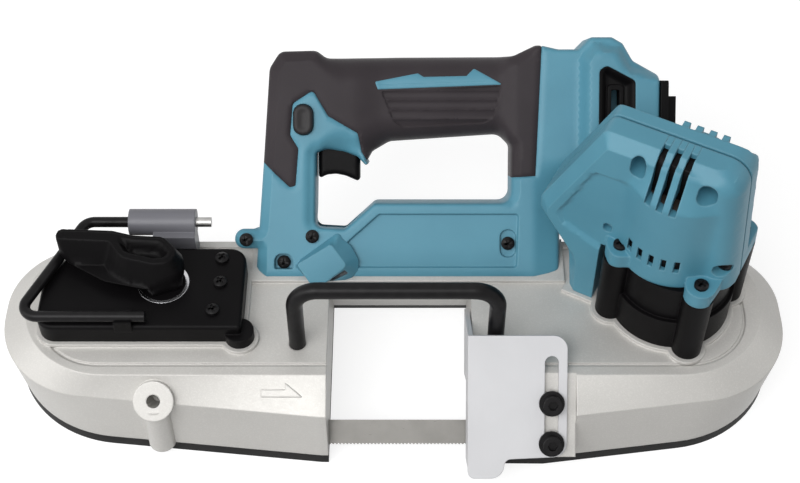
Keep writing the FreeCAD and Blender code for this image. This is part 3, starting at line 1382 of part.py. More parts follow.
core_corners = [
    (-65, 22), (-55.5, 22), (-55.5, 71), (-15, 71, 3), (-3, 77, 5), (56.5, 80.8, 4), (65, 73, 4), (66, 22),
    (84, 22), (84, 119), (74.4, 120.5, 2), (62.5, 116, 4), (3.6, 115.5), (-36, 115, 4), (-40.5, 118.7, 4),
    (-57.5, 118.2, 5), (-61.5, 112, 5),
]
flare_corners = [
    (98, 62, 4), (112, 48, 4), (dim.battery_face_x, 48), (dim.battery_face_x, 107, 3), (124, 114.5, 4),
    (118.5, 124, 3), (104, 126, 3), (98, 118, 4),
]
bridge_panel = [(-20, 9, 2), (64.5, 9, 2), (64.5, 36.7, 2), (-7.6, 36.7, 3), (-24, 22.5, 2)]
well_spots = [(-57.6, 11, 1.6), (60.4, 20.8, 3.2)]
board_room = box_corners(92, 50, dim.battery_face_x - 4, 105)
handle_seat = box_corners(-dim.foot_left_x - dim.seat_margin, dim.handle_y,
                          dim.foot_right_x + dim.seat_margin, dim.deck_back_y)
pad(frame, draw(frame, [outline(handle_seat)], "Dims.deck_z"), "Dims.seat_height")
trigger_slot = box_corners(-dim.trigger_left_x - dim.slide_gap, dim.trigger_low,
                           -dim.trigger_right_x + dim.slide_gap, dim.trigger_high + dim.trigger_travel + 2)


cut_reach = 4 * dim.handle_half
cavity_half = "Dims.handle_half - Dims.grip_skin - Dims.shell_wall"


def handle_body(label):
    return make_body(label, "0", "Dims.handle_y", "Dims.deck_z", handle_turn)


def finish_front(shell):
    # Lock button hole, ear, recessed bridge panel and screw wells of the front half
    pad(shell, draw(shell, [stadium(-dim.ear_x, dim.ear_up, dim.ear_half_length, dim.ear_half_width)],
                    "-Dims.ear_thickness"), "Dims.ear_thickness")
    hole = stadium(-dim.button_x, dim.button_up, dim.button_half_width + dim.slide_gap,
                   dim.button_half_length + dim.slide_gap)
    pocket(shell, draw(shell, [hole], "Dims.grip_skin"), "2 * Dims.handle_half")
    pocket(shell, draw(shell, [outline(bridge_panel)]), "Dims.panel_depth")
    radius = dim.screw_well_radius
    wells = [stadium(x, y, radius, radius + stretch) for x, y, stretch in well_spots]
    pocket(shell, draw(shell, wells), "Dims.screw_well_depth")


def cut_under(body, height):
    # Takes away all that would lie lower than the given height over the deck
    level = height * math.sqrt(2)
    under = [(level - cut_reach, cut_reach), (level + cut_reach, -cut_reach),
             (-2 * cut_reach, -cut_reach), (-2 * cut_reach, cut_reach)]
    pocket(body, draw(body, [outline(under)], plane="YZ_Plane"), "3 * Dims.battery_face_x", middle=True)


def make_handle_half(name, front):
    # The seam lies in the middle of the handle; the front half grows forwards, the rear half backwards
    seam = "-Dims.handle_half"
    shell = handle_body(f"handle_shell_{name}")
    pad(shell, draw(shell, [outline(handle_corners)], seam), "Dims.handle_half", reverse=not front)
    core_depth = "Dims.handle_half - Dims.grip_skin"
    pad(shell, draw(shell, [outline(core_corners)], seam), core_depth, reverse=not front)
    flare = draw(shell, [outline(flare_corners)], seam)
    pad(shell, flare, "Dims.handle_half + " + ("Dims.battery_flare" if front else "Dims.battery_back_flare"),
        reverse=not front)
    for room in (inset(core_corners, dim.shell_wall), board_room):
        pocket(shell, draw(shell, [outline(room)], seam), cavity_half, reverse=front)
    grip = handle_body(f"grip_{name}")
    pad(grip, draw(grip, [outline(grip_corners)], seam), "Dims.handle_half", reverse=not front)
    pocket(grip, draw(grip, [outline(core_corners)], seam), core_depth, reverse=front)
    slot_half = "Dims.trigger_half + Dims.slide_gap"
    pocket(shell, draw(shell, [outline(trigger_slot)], seam), slot_half, reverse=front)
    if front:
        finish_front(shell)
    cut_under(shell, dim.seat_height)
    if not front:
        ramp_end = dim.foot_step + dim.foot_ramp
        step = [(-cut_reach, -dim.foot_depth), (dim.foot_step, -dim.foot_depth),
                (ramp_end, -2 * dim.handle_half), (ramp_end, -cut_reach), (-cut_reach, -cut_reach)]
        pocket(shell, draw(shell, [outline(step)], plane="YZ_Plane"), "3 * Dims.battery_face_x", middle=True)
    return shell, grip


make_handle_half("front", True)
make_handle_half("rear", False)

# Trigger, its spring and switch, and the lock button
trigger = handle_body("trigger")
trigger_corners = [
    (-dim.trigger_left_x, dim.trigger_low, 3), (-dim.trigger_left_x + 8, dim.trigger_low, 4),
    (-dim.trigger_left_x + 13, dim.trigger_low + 5, 6), (-dim.trigger_right_x, dim.trigger_low + 9, 3),
    (-dim.trigger_right_x, dim.trigger_high, 1), (-dim.trigger_left_x, dim.trigger_high, 1),
]
trigger_sketch = draw(trigger, [outline(trigger_corners)], "-Dims.handle_half")
pad(trigger, trigger_sketch, "2 * Dims.trigger_half", middle=True)
switch = handle_body("switch")
switch_box = box_corners(-38, dim.switch_low, -8, dim.switch_high, 1)
pad(switch, draw(switch, [outline(switch_box)], "-Dims.handle_half"), f"2 * ({cavity_half})", middle=True)
trigger_middle = -(dim.trigger_left_x + dim.trigger_right_x) / 2
upright = turned(vector(0, 0, 1), 90)
spring_seat = handle_place.multVec(vector(trigger_middle, dim.trigger_high + dim.slide_gap, -dim.handle_half))
spring_room = dim.switch_low - dim.trigger_high - 2 * dim.slide_gap
trigger_coil = coil(dim.trigger_spring_radius, spring_room, dim.trigger_spring_turns, dim.trigger_spring_wire)
make_feature("trigger_spring", trigger_coil, spring_seat.x, spring_seat.y - datum_y, spring_seat.z,
             handle_turn.multiply(upright))
button = handle_body("lock_button")
button_oval = stadium(-dim.button_x, dim.button_up, dim.button_half_width, dim.button_half_length)
pad(button, draw(button, [button_oval], "-Dims.button_inside"), "Dims.button_inside + Dims.button_proud")
board = handle_body("controller_board")
board_box = box_corners(96, 54, dim.battery_face_x - 8, 101, 2)
pad(board, draw(board, [outline(board_box)], f"-Dims.handle_half - ({cavity_half})"), "Dims.board_thickness")

# Work light on the bridge, shining down to the cut
light_turn = FreeCAD.Placement(vector(-dim.light_x, dim.light_up), turned(vector(0, 0, 1), -dim.light_turn))
light = handle_body("light_housing")
light_box = box_corners(-dim.light_half_length, -dim.light_half_width, dim.light_half_length,
                        dim.light_half_width, dim.light_corner)
pad(light, draw(light, [outline(light_box)], at=light_turn), "Dims.light_height")
cut_under(light, dim.seat_height + dim.slide_gap)
lens_box = box_corners(dim.light_half_length - dim.lens_depth, -dim.light_half_width + dim.lens_inset,
                       dim.light_half_length, dim.light_half_width - dim.lens_inset)
lens_turn = light_turn.multiply(FreeCAD.Placement(vector(0, 0, dim.lens_inset), FreeCAD.Rotation()))
lens_height = "Dims.light_height - 2 * Dims.lens_inset"
pocket(light, draw(light, [outline(lens_box)], at=lens_turn), lens_height, reverse=True)
lens = handle_body("light_lens")
pad(lens, draw(lens, [outline(lens_box)], at=lens_turn), lens_height)

# Slotted insert on the battery housing, battery rail and terminals
insert = handle_body("slot_insert")
insert_corners = [(112, 82, 2), (127, 80, 2), (130, 112, 2), (116, 118, 2)]
pad(insert, draw(insert, [outline(insert_corners), outline(box_corners(117, 90, 121, 106, 1.5))],
                 "Dims.battery_flare"), "Dims.insert_thickness")
rail = handle_body("battery_rail")
flare_middle = (dim.battery_flare - 2 * dim.handle_half - dim.battery_back_flare) / 2
flare_half = (dim.battery_flare + 2 * dim.handle_half + dim.battery_back_flare) / 2
plate_box = box_corners(dim.rail_low, flare_middle - flare_half, dim.rail_high, flare_middle + flare_half, 2)
pad(rail, draw(rail, [outline(plate_box)], "Dims.battery_face_x", "YZ_Plane"), "Dims.rail_thickness")
rail_boxes = []
for edge in (flare_middle - flare_half + dim.rail_width, flare_middle + flare_half - 2 * dim.rail_width):
    rail_end = dim.rail_high - dim.rail_stop
    rail_boxes.append(outline(box_corners(dim.rail_low, edge, rail_end, edge + dim.rail_width)))
pad(rail, draw(rail, rail_boxes, "Dims.battery_face_x + Dims.rail_thickness", "YZ_Plane"), "Dims.rail_height")
terminals = handle_body("battery_terminals")
blades = []
terminal_low = dim.rail_low + dim.terminal_inset
terminal_half = dim.terminal_thickness / 2
for step in (-1, 0, 1):
    middle = flare_middle + step * dim.rail_width
    blades.append(outline(box_corners(terminal_low, middle - terminal_half, terminal_low + dim.terminal_length,
                                      middle + terminal_half)))
pad(terminals, draw(terminals, blades, "Dims.battery_face_x + Dims.rail_thickness", "YZ_Plane"),
    "Dims.terminal_height")

# Screw heads of the housings
pad(motor_screws, draw(motor_screws, [circle(x, y, dim.screw_head_radius) for x, y in motor_lobes]),
    "Dims.screw_head_height")
body_screws = handle_body("body_screws")
for level, spots in (("0", [(-42.4, 24.8), (-dim.ear_x, dim.ear_up)]),
                     ("-Dims.screw_well_depth", [spot[:2] for spot in well_spots])):
    pad(body_screws, draw(body_screws, [circle(x, y, dim.screw_head_radius) for x, y in spots], level),
        "Dims.screw_head_height")
cover_screws = make_body("cover_screws", "0", "0", f"{seat_z} + Dims.cover_height")
cover_spots = [(-89, 17), (-88.8, 1.2), (-91.4, -16.7)]
pad(cover_screws, draw(cover_screws, [circle(x, y, dim.screw_head_radius) for x, y in cover_spots]),
    "Dims.screw_head_height")

# End of the model
os.makedirs("parts", exist_ok=True)
for item in doc.Objects:
    if {"Invalid", "Error"} & set(item.State):
        raise RuntimeError(f"{item.Label} failed: {item.State}")
for piece in pieces:
    if piece.Shape.isNull() or not piece.Shape.isValid():
        raise RuntimeError(f"{piece.Label} has no valid shape")
for piece in pieces:
    print(piece.Label, round(piece.Shape.Volume), len(piece.Shape.Solids))
    piece.Shape.exportStep(f"parts/{piece.Label}.step")
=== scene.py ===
import json
import math
import bpy
import numpy as np
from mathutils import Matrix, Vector
from mathutils.bvhtree import BVHTree
from mathutils.geometry import delaunay_2d_cdt


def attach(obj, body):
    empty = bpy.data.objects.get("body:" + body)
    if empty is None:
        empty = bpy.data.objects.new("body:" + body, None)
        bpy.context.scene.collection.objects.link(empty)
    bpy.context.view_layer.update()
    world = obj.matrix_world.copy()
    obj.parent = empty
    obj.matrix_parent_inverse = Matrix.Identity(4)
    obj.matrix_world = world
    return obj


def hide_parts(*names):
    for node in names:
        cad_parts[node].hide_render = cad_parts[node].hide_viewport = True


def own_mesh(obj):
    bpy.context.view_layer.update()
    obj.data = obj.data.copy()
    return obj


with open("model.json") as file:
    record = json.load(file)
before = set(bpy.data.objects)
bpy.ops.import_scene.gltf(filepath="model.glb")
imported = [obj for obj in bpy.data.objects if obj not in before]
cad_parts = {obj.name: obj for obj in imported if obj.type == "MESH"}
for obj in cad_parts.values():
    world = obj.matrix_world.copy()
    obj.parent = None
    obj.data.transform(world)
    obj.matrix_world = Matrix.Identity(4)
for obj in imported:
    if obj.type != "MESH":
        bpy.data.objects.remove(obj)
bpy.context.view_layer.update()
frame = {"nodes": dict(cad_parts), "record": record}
nodes = frame["nodes"]
mm = 0.001
print("stage: frame loaded")


# Colours and nodes

def linear(hexText, alpha=1.0):
    # sRGB hex to the linear values that shader sockets take
    parts = [int(hexText[start:start + 2], 16) / 255 for start in (0, 2, 4)]
    return [part / 12.92 if part <= 0.04045 else ((part + 0.055) / 1.055) ** 2.4 for part in parts] + [alpha]


def addNode(tree, kind, values=None, sources=None, **settings):
    # One node with its settings, socket values and incoming links
    node = tree.nodes.new(kind)
    for name, value in settings.items():
        setattr(node, name, value)
    for socket, value in (values or {}).items():
        node.inputs[socket].default_value = value
    for socket, source in (sources or {}).items():
        tree.links.new(source, node.inputs[socket])
    return node


def newMaterial(name):
    material = bpy.data.materials.new(name)
    material.use_nodes = True
    material.node_tree.nodes.clear()
    return material, material.node_tree


# Finishes: patch is the size of cloudy colour changes, grain, flake and peel those of the surface, edge the
# radius of worn edges, all in mm; depth is the bump's share of the grain, wander how far the roughness strays

def cloudyColour(tree, coords, look, detail, low, high):
    # Two close colours in broad, soft patches
    cloud = addNode(tree, "ShaderNodeTexNoise", {"Scale": 1 / (look["patch"] * mm), "Detail": detail},
                    {"Vector": coords})
    share = addNode(tree, "ShaderNodeMapRange", {"From Min": low, "From Max": high},
                    {"Value": cloud.outputs["Fac"]})
    mix = addNode(tree, "ShaderNodeMix", {6: linear(look["colour"]), 7: linear(look["shade"])},
                  {0: share.outputs["Result"]}, data_type="RGBA")
    return mix.outputs[2]


def glossRange(look):
    less, more = look["wander"]
    return {"To Min": look["roughness"] - less, "To Max": look["roughness"] + more}


def closeFinish(tree, values, colour, gloss, relief):
    # Shader with its colour, gloss and relief, and the output that shows it
    shader = addNode(tree, "ShaderNodeBsdfPrincipled", values,
                     {"Base Color": colour, "Roughness": gloss.outputs["Result"],
                      "Normal": relief.outputs["Normal"]})
    addNode(tree, "ShaderNodeOutputMaterial", None, {"Surface": shader.outputs["BSDF"]})


def mouldedNylon(name, look):
    # Glass-filled nylon from a spark-eroded mould: even colour, fine dry grain, edges paler from handling
    material, tree = newMaterial(name)
    coords = addNode(tree, "ShaderNodeTexCoord").outputs["Object"]
    body = cloudyColour(tree, coords, look, 4.0, 0.3, 0.7)
    soft = addNode(tree, "ShaderNodeBevel", {"Radius": look["edge"] * mm}, samples=4)
    flat = addNode(tree, "ShaderNodeNewGeometry")
    turned = addNode(tree, "ShaderNodeVectorMath", None,
                     {0: soft.outputs["Normal"], 1: flat.outputs["Normal"]}, operation="DOT_PRODUCT")
    rubbed = addNode(tree, "ShaderNodeMapRange",
                     {"From Min": 0.995, "From Max": 0.85, "To Min": 0.0, "To Max": look["rub"]},
                     {"Value": turned.outputs["Value"]})
    colour = addNode(tree, "ShaderNodeMix", {7: linear(look["edgeColour"])},
                     {0: rubbed.outputs["Result"], 6: body}, data_type="RGBA")
    grain = addNode(tree, "ShaderNodeTexVoronoi", {"Scale": 1 / (look["grain"] * mm)}, {"Vector": coords})
    gloss = addNode(tree, "ShaderNodeMapRange", {"From Min": 0.0, "From Max": 0.9, **glossRange(look)},
                    {"Value": grain.outputs["Distance"]})
    relief = addNode(tree, "ShaderNodeBump",
                     {"Strength": look["bump"], "Distance": look["grain"] * mm * look["depth"]},
                     {"Height": grain.outputs["Distance"], "Normal": soft.outputs["Normal"]})
    closeFinish(tree, {"Specular IOR Level": look["specular"], "IOR": 1.53}, colour.outputs[2], gloss, relief)
    return material


def softOvermould(name, look):
    # Thermoplastic rubber moulded over the shell: warm charcoal, matt, with a dusty bloom in broad patches
    material, tree = newMaterial(name)
    coords = addNode(tree, "ShaderNodeTexCoord").outputs["Object"]
    colour = cloudyColour(tree, coords, look, 5.0, 0.35, 0.7)
    grain = addNode(tree, "ShaderNodeTexNoise", {"Scale": 1 / (look["grain"] * mm), "Detail": 2.0},
                    {"Vector": coords})
    gloss = addNode(tree, "ShaderNodeMapRange", {"From Min": 0.2, "From Max": 0.8, **glossRange(look)},
                    {"Value": grain.outputs["Fac"]})
    soft = addNode(tree, "ShaderNodeBevel", {"Radius": look["edge"] * mm}, samples=4)
    relief = addNode(tree, "ShaderNodeBump",
                     {"Strength": look["bump"], "Distance": look["grain"] * mm * look["depth"]},
                     {"Height": grain.outputs["Fac"], "Normal": soft.outputs["Normal"]})
    closeFinish(tree, {"Specular IOR Level": look["specular"], "IOR": 1.5, "Sheen Weight": 0.06,
                       "Sheen Roughness": 0.5}, colour, gloss, relief)
    return material


def lacqueredCasting(name, look):
    # Silver lacquer sprayed over a die casting: pale, even, a faint orange peel, flakes drawn coarse to show
    material, tree = newMaterial(name)
    coords = addNode(tree, "ShaderNodeTexCoord").outputs["Object"]
    body = cloudyColour(tree, coords, look, 3.0, 0.3, 0.7)
    flake = addNode(tree, "ShaderNodeTexVoronoi", {"Scale": 1 / (look["flake"] * mm)}, {"Vector": coords})
    flakeTone = addNode(tree, "ShaderNodeSeparateColor", None, {"Color": flake.outputs["Color"]})
    flakeShare = addNode(tree, "ShaderNodeMapRange", {"From Min": 0.6, "From Max": 1.0, "To Max": 0.3},
                         {"Value": flakeTone.outputs["Red"]})
    colour = addNode(tree, "ShaderNodeMix", {7: linear(look["flakeColour"])},
                     {0: flakeShare.outputs["Result"], 6: body}, data_type="RGBA")
    peel = addNode(tree, "ShaderNodeTexNoise", {"Scale": 1 / (look["peel"] * mm), "Detail": 1.0},
                   {"Vector": coords})
    soft = addNode(tree, "ShaderNodeBevel", {"Radius": look["edge"] * mm}, samples=6)
    relief = addNode(tree, "ShaderNodeBump",
                     {"Strength": look["bump"], "Distance": look["peel"] * mm * look["depth"]},
                     {"Height": peel.outputs["Fac"], "Normal": soft.outputs["Normal"]})
    gloss = addNode(tree, "ShaderNodeMapRange", glossRange(look), {"Value": flakeTone.outputs["Green"]})
    closeFinish(tree, {"Metallic": look["metallic"], "Specular IOR Level": look["specular"]},
                colour.outputs[2], gloss, relief)
    return material


def workedSteel(name, look):
    # Steel as it left the lathe, the roll or the plating bath: drawn-out scratches in the gloss, cloudy tone
    material, tree = newMaterial(name)
    coords = addNode(tree, "ShaderNodeTexCoord").outputs["Object"]
    colour = cloudyColour(tree, coords, look, 4.0, 0.35, 0.65)
    drawn = addNode(tree, "ShaderNodeMapping", {"Scale": look["drawn"]}, {"Vector": coords})
    scratch = addNode(tree, "ShaderNodeTexNoise", {"Scale": 1 / (look["grain"] * mm), "Detail": 3.0},
                      {"Vector": drawn.outputs["Vector"]})
    gloss = addNode(tree, "ShaderNodeMapRange", {"From Min": 0.25, "From Max": 0.75, **glossRange(look)},
                    {"Value": scratch.outputs["Fac"]})
    soft = addNode(tree, "ShaderNodeBevel", {"Radius": look["edge"] * mm}, samples=4)
    relief = addNode(tree, "ShaderNodeBump",
                     {"Strength": look["bump"], "Distance": look["grain"] * mm * look["depth"]},
                     {"Height": scratch.outputs["Fac"], "Normal": soft.outputs["Normal"]})
    closeFinish(tree, {"Metallic": look["metallic"], "Specular IOR Level": look["specular"]},
                colour, gloss, relief)
    return material


nylon = {"patch": 35, "grain": 0.45, "depth": 0.4, "edge": 0.9, "bump": 0.12, "roughness": 0.45,
         "wander": (0.06, 0.08), "rub": 0.3, "specular": 0.3}
tealNylon = mouldedNylon("teal_filled_nylon", {
    **nylon, "colour": "528da1", "shade": "4c8599", "edgeColour": "8bbaca", "edge": 1.2, "specular": 0.36})
blackNylon = mouldedNylon("black_filled_nylon", {
    **nylon, "colour": "080708", "shade": "0d0c0d", "edgeColour": "2c2a2b", "specular": 0.06,
    "roughness": 0.38})
greyNylon = mouldedNylon("grey_filled_nylon", {
    **nylon, "colour": "747479", "shade": "6c6c72", "edgeColour": "9a9aa0", "roughness": 0.36})
paleNylon = mouldedNylon("pale_fan_nylon", {
    **nylon, "colour": "d4d4ce", "shade": "c6c6c0", "edgeColour": "e2e2de"})
boardResin = mouldedNylon("green_board_resin", {
    **nylon, "colour": "2d5a3c", "shade": "264d33", "edgeColour": "4c7a58"})
buttonNylon = mouldedNylon("black_button_nylon", {
    **nylon, "colour": "1d1b1c", "shade": "232122", "edgeColour": "3c393a", "specular": 0.2})
# Lens colour is painted shade: dark grey for the unlit inside of the lamp seen through the clear resin
lensPaintedDark = mouldedNylon("lens_resin_painted_dark", {
    **nylon, "colour": "4a5054", "shade": "42484c", "edgeColour": "8a9297", "roughness": 0.18, "grain": 0.8})
rubber = {"depth": 0.5, "wander": (0.08, 0.08)}
gripRubber = softOvermould("charcoal_grip_overmould", {
    **rubber, "colour": "332e31", "shade": "2a2528", "patch": 45, "grain": 0.4, "edge": 0.8, "bump": 0.14,
    "roughness": 0.55, "specular": 0.17})
bumperRubber = softOvermould("black_bumper_rubber", {
    **rubber, "colour": "161616", "shade": "212020", "patch": 20, "grain": 0.7, "edge": 0.6, "bump": 0.2,
    "roughness": 0.7, "specular": 0.15})
silverLacquer = lacqueredCasting("silver_lacquered_casting", {
    "colour": "c6c4c0", "shade": "bebcb8", "flakeColour": "d8d6d2", "patch": 60, "flake": 0.5, "peel": 1.4,
    "depth": 0.3, "edge": 1.0, "bump": 0.06, "roughness": 0.44, "wander": (0.06, 0.08), "metallic": 0.25,
    "specular": 0.3})
steel = {"patch": 12, "grain": 0.5, "depth": 0.3, "drawn": (1, 1, 1), "edge": 0.3, "bump": 0.06,
         "roughness": 0.34, "wander": (0.07, 0.09), "metallic": 1.0, "specular": 0.5}
turnedSteel = workedSteel("turned_steel", {**steel, "colour": "b4b3b1", "shade": "9f9e9c"})
bladeSteel = workedSteel("rolled_blade_steel", {
    **steel, "colour": "84827e", "shade": "7c7a76", "drawn": (0.06, 1, 1), "edge": 0.1, "metallic": 0.5})
platedSheet = workedSteel("bright_plated_sheet", {
    **steel, "colour": "cfcfd1", "shade": "cacacc", "drawn": (1, 0.08, 0.08), "metallic": 0.1, "edge": 0.6,
    "bump": 0.04, "patch": 40, "roughness": 0.55, "specular": 0.25})
wheelAlloy = workedSteel("turned_wheel_alloy", {
    **steel, "colour": "a5a6a8", "shade": "8e8f91", "metallic": 0.9})
blackOxide = workedSteel("black_oxide_steel", {
    **steel, "colour": "0d0c0d", "shade": "161516", "metallic": 0.0, "specular": 0.14, "edge": 0.4,
    "patch": 5})
polishedSteel = workedSteel("polished_steel", {
    **steel, "colour": "d6d6d8", "shade": "c4c4c7", "roughness": 0.2})
springSteel = workedSteel("spring_steel", {**steel, "colour": "8a8a8a", "shade": "737373", "edge": 0.1})
lamination = workedSteel("lacquered_lamination", {
    **steel, "colour": "6d665f", "shade": "574f48", "metallic": 0.6, "drawn": (1, 1, 8)})
brassBlade = workedSteel("rolled_brass", {**steel, "colour": "c9a35a", "shade": "b38d48"})

slotFinish = {
    "cast_silver": silverLacquer, "black_rubber": bumperRubber, "machined_steel": turnedSteel,
    "blade_steel": bladeSteel, "plate_steel": platedSheet, "wheel_alloy": wheelAlloy,
    "black_steel": blackOxide, "bright_steel": polishedSteel, "spring_steel": springSteel,
    "teal_plastic": tealNylon, "grip_rubber": gripRubber, "black_plastic": blackNylon,
    "grey_plastic": greyNylon, "button_plastic": buttonNylon, "motor_core": lamination,
    "fan_plastic": paleNylon, "lens_clear": lensPaintedDark, "terminal_brass": brassBlade,
    "circuit_green": boardResin,
}
for entry in frame["record"]["subparts"]:
    node = nodes[entry["node"]]
    node.data.materials.clear()
    node.data.materials.append(slotFinish[entry["material_slot"]])
print("stage: finishes set")


# Mouldings with a relief face: an outline in a plane, with a height for every point of it, in mm

far = 1e9
noPoints = np.zeros((0, 2))
edgeShares = [1 - math.cos(math.radians(turn)) for turn in (8, 16, 25, 35, 46, 58, 72, 90)]
meshing = {"leastBend": 0.05, "leastGap": 0.28, "leastWall": 0.05, "sharp": 34}


def smooth(value, low, high):
    share = np.clip((np.asarray(value) - low) / (high - low), 0, 1)
    return share * share * (3 - 2 * share)


def level(height):
    return lambda spots: np.full(len(spots), height)


def roundFall(near, radius):
    # Fall of a rounded edge at a distance from it
    inward = np.clip(1 - near / radius, 0, 1)
    return radius * (1 - np.sqrt(1 - inward * inward))


def roundLoop(corners, step=1.2):
    # Points of a closed outline; a corner's third number is its radius
    spots = [Vector(corner[:2]) for corner in corners]
    runs = []
    for index, here in enumerate(spots):
        back = spots[index - 1] - here
        ahead = spots[(index + 1) % len(spots)] - here
        radius = corners[index][2] if len(corners[index]) > 2 else 0
        half = back.angle(ahead) / 2
        reach = min(radius / math.tan(half), 0.48 * back.length, 0.48 * ahead.length)
        if reach < meshing["leastBend"]:
            runs.append([here])
            continue
        start = here + back.normalized() * reach
        end = here + ahead.normalized() * reach
        middle = here + (back.normalized() + ahead.normalized()).normalized() * reach / math.cos(half)
        sweep = (end - middle).angle_signed(start - middle)
        count = max(3, round(abs(sweep) * (start - middle).length / step * 1.5))
        turns = [sweep * share / count for share in range(count + 1)]
        arm = start - middle
        runs.append([middle + Vector((arm.x * math.cos(turn) - arm.y * math.sin(turn),
                                      arm.x * math.sin(turn) + arm.y * math.cos(turn))) for turn in turns])
    loop = []
    for index, run in enumerate(runs):
        loop += run
        ahead = runs[(index + 1) % len(runs)][0] - run[-1]
        parts = max(1, round(ahead.length / step))
        loop += [run[-1] + ahead * share / parts for share in range(1, parts)]
    return np.array([tuple(spot) for spot in loop])


def boxLoop(left, low, right, high, radius, step):
    corners = [(left, low), (right, low), (right, high), (left, high)]
    return roundLoop([(*corner, radius) for corner in corners], step)


def ovalLoop(x, y, halfWidth, halfHeight, step):
    radius = min(halfWidth, halfHeight)
    return boxLoop(x - halfWidth, y - halfHeight, x + halfWidth, y + halfHeight, radius, step)


def loopDistance(points, loop):
    # Shortest way from each point to the outline
    best = np.full(len(points), far)
    for start, end in zip(loop, np.roll(loop, -1, 0)):
        along = end - start
        away = points - start
        share = np.clip(away @ along / (along @ along), 0, 1)
        best = np.minimum(best, np.hypot(away[:, 0] - share * along[0], away[:, 1] - share * along[1]))
    return best


def insideLoop(points, loop):
    inside = np.zeros(len(points), bool)
    for start, end in zip(loop, np.roll(loop, -1, 0)):
        if start[1] == end[1]:
            continue
        crossed = (start[1] > points[:, 1]) != (end[1] > points[:, 1])
        at = start[0] + (points[:, 1] - start[1]) * (end[0] - start[0]) / (end[1] - start[1])
        inside ^= crossed & (points[:, 0] < at)
    return inside


def depthIn(points, loop):
    # Distance from the outline, positive inside it
    return np.where(insideLoop(points, loop), 1, -1) * loopDistance(points, loop)


def insetRows(loop, widths, radiusAt):
    # Points on lines inside the outline, close together where a rounded edge bends most
    ahead = np.roll(loop, -1, 0) - np.roll(loop, 1, 0)
    inward = np.stack([-ahead[:, 1], ahead[:, 0]], 1) / np.hypot(ahead[:, 0], ahead[:, 1])[:, None]
    area = np.sum(loop[:, 0] * np.roll(loop[:, 1], -1) - np.roll(loop[:, 0], -1) * loop[:, 1])
    inward *= np.sign(area)
    rows = []
    for width in widths:
        gap = width * radiusAt(loop)
        row = loop + inward * gap[:, None]
        rows.append(row[loopDistance(row, loop) > 0.97 * np.abs(gap)])
    return np.concatenate(rows)


def ringInset(loop, width):
    # The same outline a little further in, for the foot of a recess wall
    return insetRows(loop, [width], level(1.0))


def reliefMesh(name, outline, holes, creases, extra, spacing, top, bottom, place):
    # Closed mesh between two heights over a flat outline; creases are lines that the triangles must follow
    loops = [outline, *holes, *creases]
    points, edges = [], []
    for loop in loops:
        first = len(points)
        points += list(loop)
        edges += [(first + step, first + (step + 1) % len(loop)) for step in range(len(loop))]
    low, high = outline.min(0), outline.max(0)
    columns = np.arange(low[0], high[0], spacing)
    lines = np.arange(low[1], high[1], spacing * 0.87)
    grid = np.array([(x + (row % 2) * spacing / 2, y) for row, y in enumerate(lines) for x in columns])
    fill = np.concatenate([extra, grid])
    fill = fill[insideLoop(fill, outline)]
    clear = np.full(len(fill), far)
    for loop in loops:
        clear = np.minimum(clear, loopDistance(fill, loop))
    points += list(fill[clear > meshing["leastGap"]])
    flat = delaunay_2d_cdt([Vector(spot) for spot in points], edges, [], 0, 0.001)
    spots = np.array([tuple(spot) for spot in flat[0]])
    faces = np.array(flat[2])
    centres = spots[faces].mean(1)
    keep = insideLoop(centres, outline)
    for hole in holes:
        keep &= ~insideLoop(centres, hole)
    used, faces = np.unique(faces[keep], return_inverse=True)
    faces = faces.reshape(-1, 3)
    spots = spots[used]
    corner = spots[faces]
    first, second = corner[:, 1] - corner[:, 0], corner[:, 2] - corner[:, 0]
    wrong = first[:, 0] * second[:, 1] - first[:, 1] * second[:, 0] < 0
    faces[wrong] = faces[wrong][:, ::-1]
    sides = np.concatenate([faces[:, [0, 1]], faces[:, [1, 2]], faces[:, [2, 0]]])
    known = {tuple(side) for side in sides}
    rim = [(a, b) for a, b in known if (b, a) not in known]
    count = len(spots)
    upper = top(spots)
    lower = np.minimum(bottom(spots), upper - meshing["leastWall"])
    solid = [place(x, y, height) for (x, y), height in zip(spots, upper)]
    solid += [place(x, y, height) for (x, y), height in zip(spots, lower)]
    polygons = [tuple(face) for face in faces] + [tuple(face[::-1] + count) for face in faces]
    polygons += [(b, a, a + count, b + count) for a, b in rim]
    mesh = bpy.data.meshes.new(name)
    mesh.from_pydata(solid, [], [tuple(int(corner) for corner in polygon) for polygon in polygons])
    mesh.validate()
    return mesh


def finishPiece(mesh, body, replaced, slot, sharp=meshing["sharp"]):
    # Smooth shading with crisp creases, the finish of a slot, and the body that carries the piece
    mesh.shade_smooth()
    mesh.set_sharp_from_angle(angle=math.radians(sharp))
    mesh.materials.clear()
    mesh.materials.append(slotFinish[slot])
    piece = bpy.data.objects.new(mesh.name, mesh)
    bpy.context.scene.collection.objects.link(piece)
    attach(piece, body)
    if replaced:
        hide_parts(*replaced)
    return piece


def addMoulding(name, replaced, slot, outline, spacing, top, bottom, place, holes=(), creases=(),
                extra=noPoints, body="frame", sharp=meshing["sharp"], mirrored=False):
    # A relief mesh as a finished piece; a mirrored place needs its faces turned round
    mesh = reliefMesh(name, outline, holes, creases, extra, spacing, top, bottom, place)
    if mirrored:
        mesh.flip_normals()
    finishPiece(mesh, body, replaced, slot, sharp)


# Handle: x along the saw, y up the leaning handle, height from its middle seam

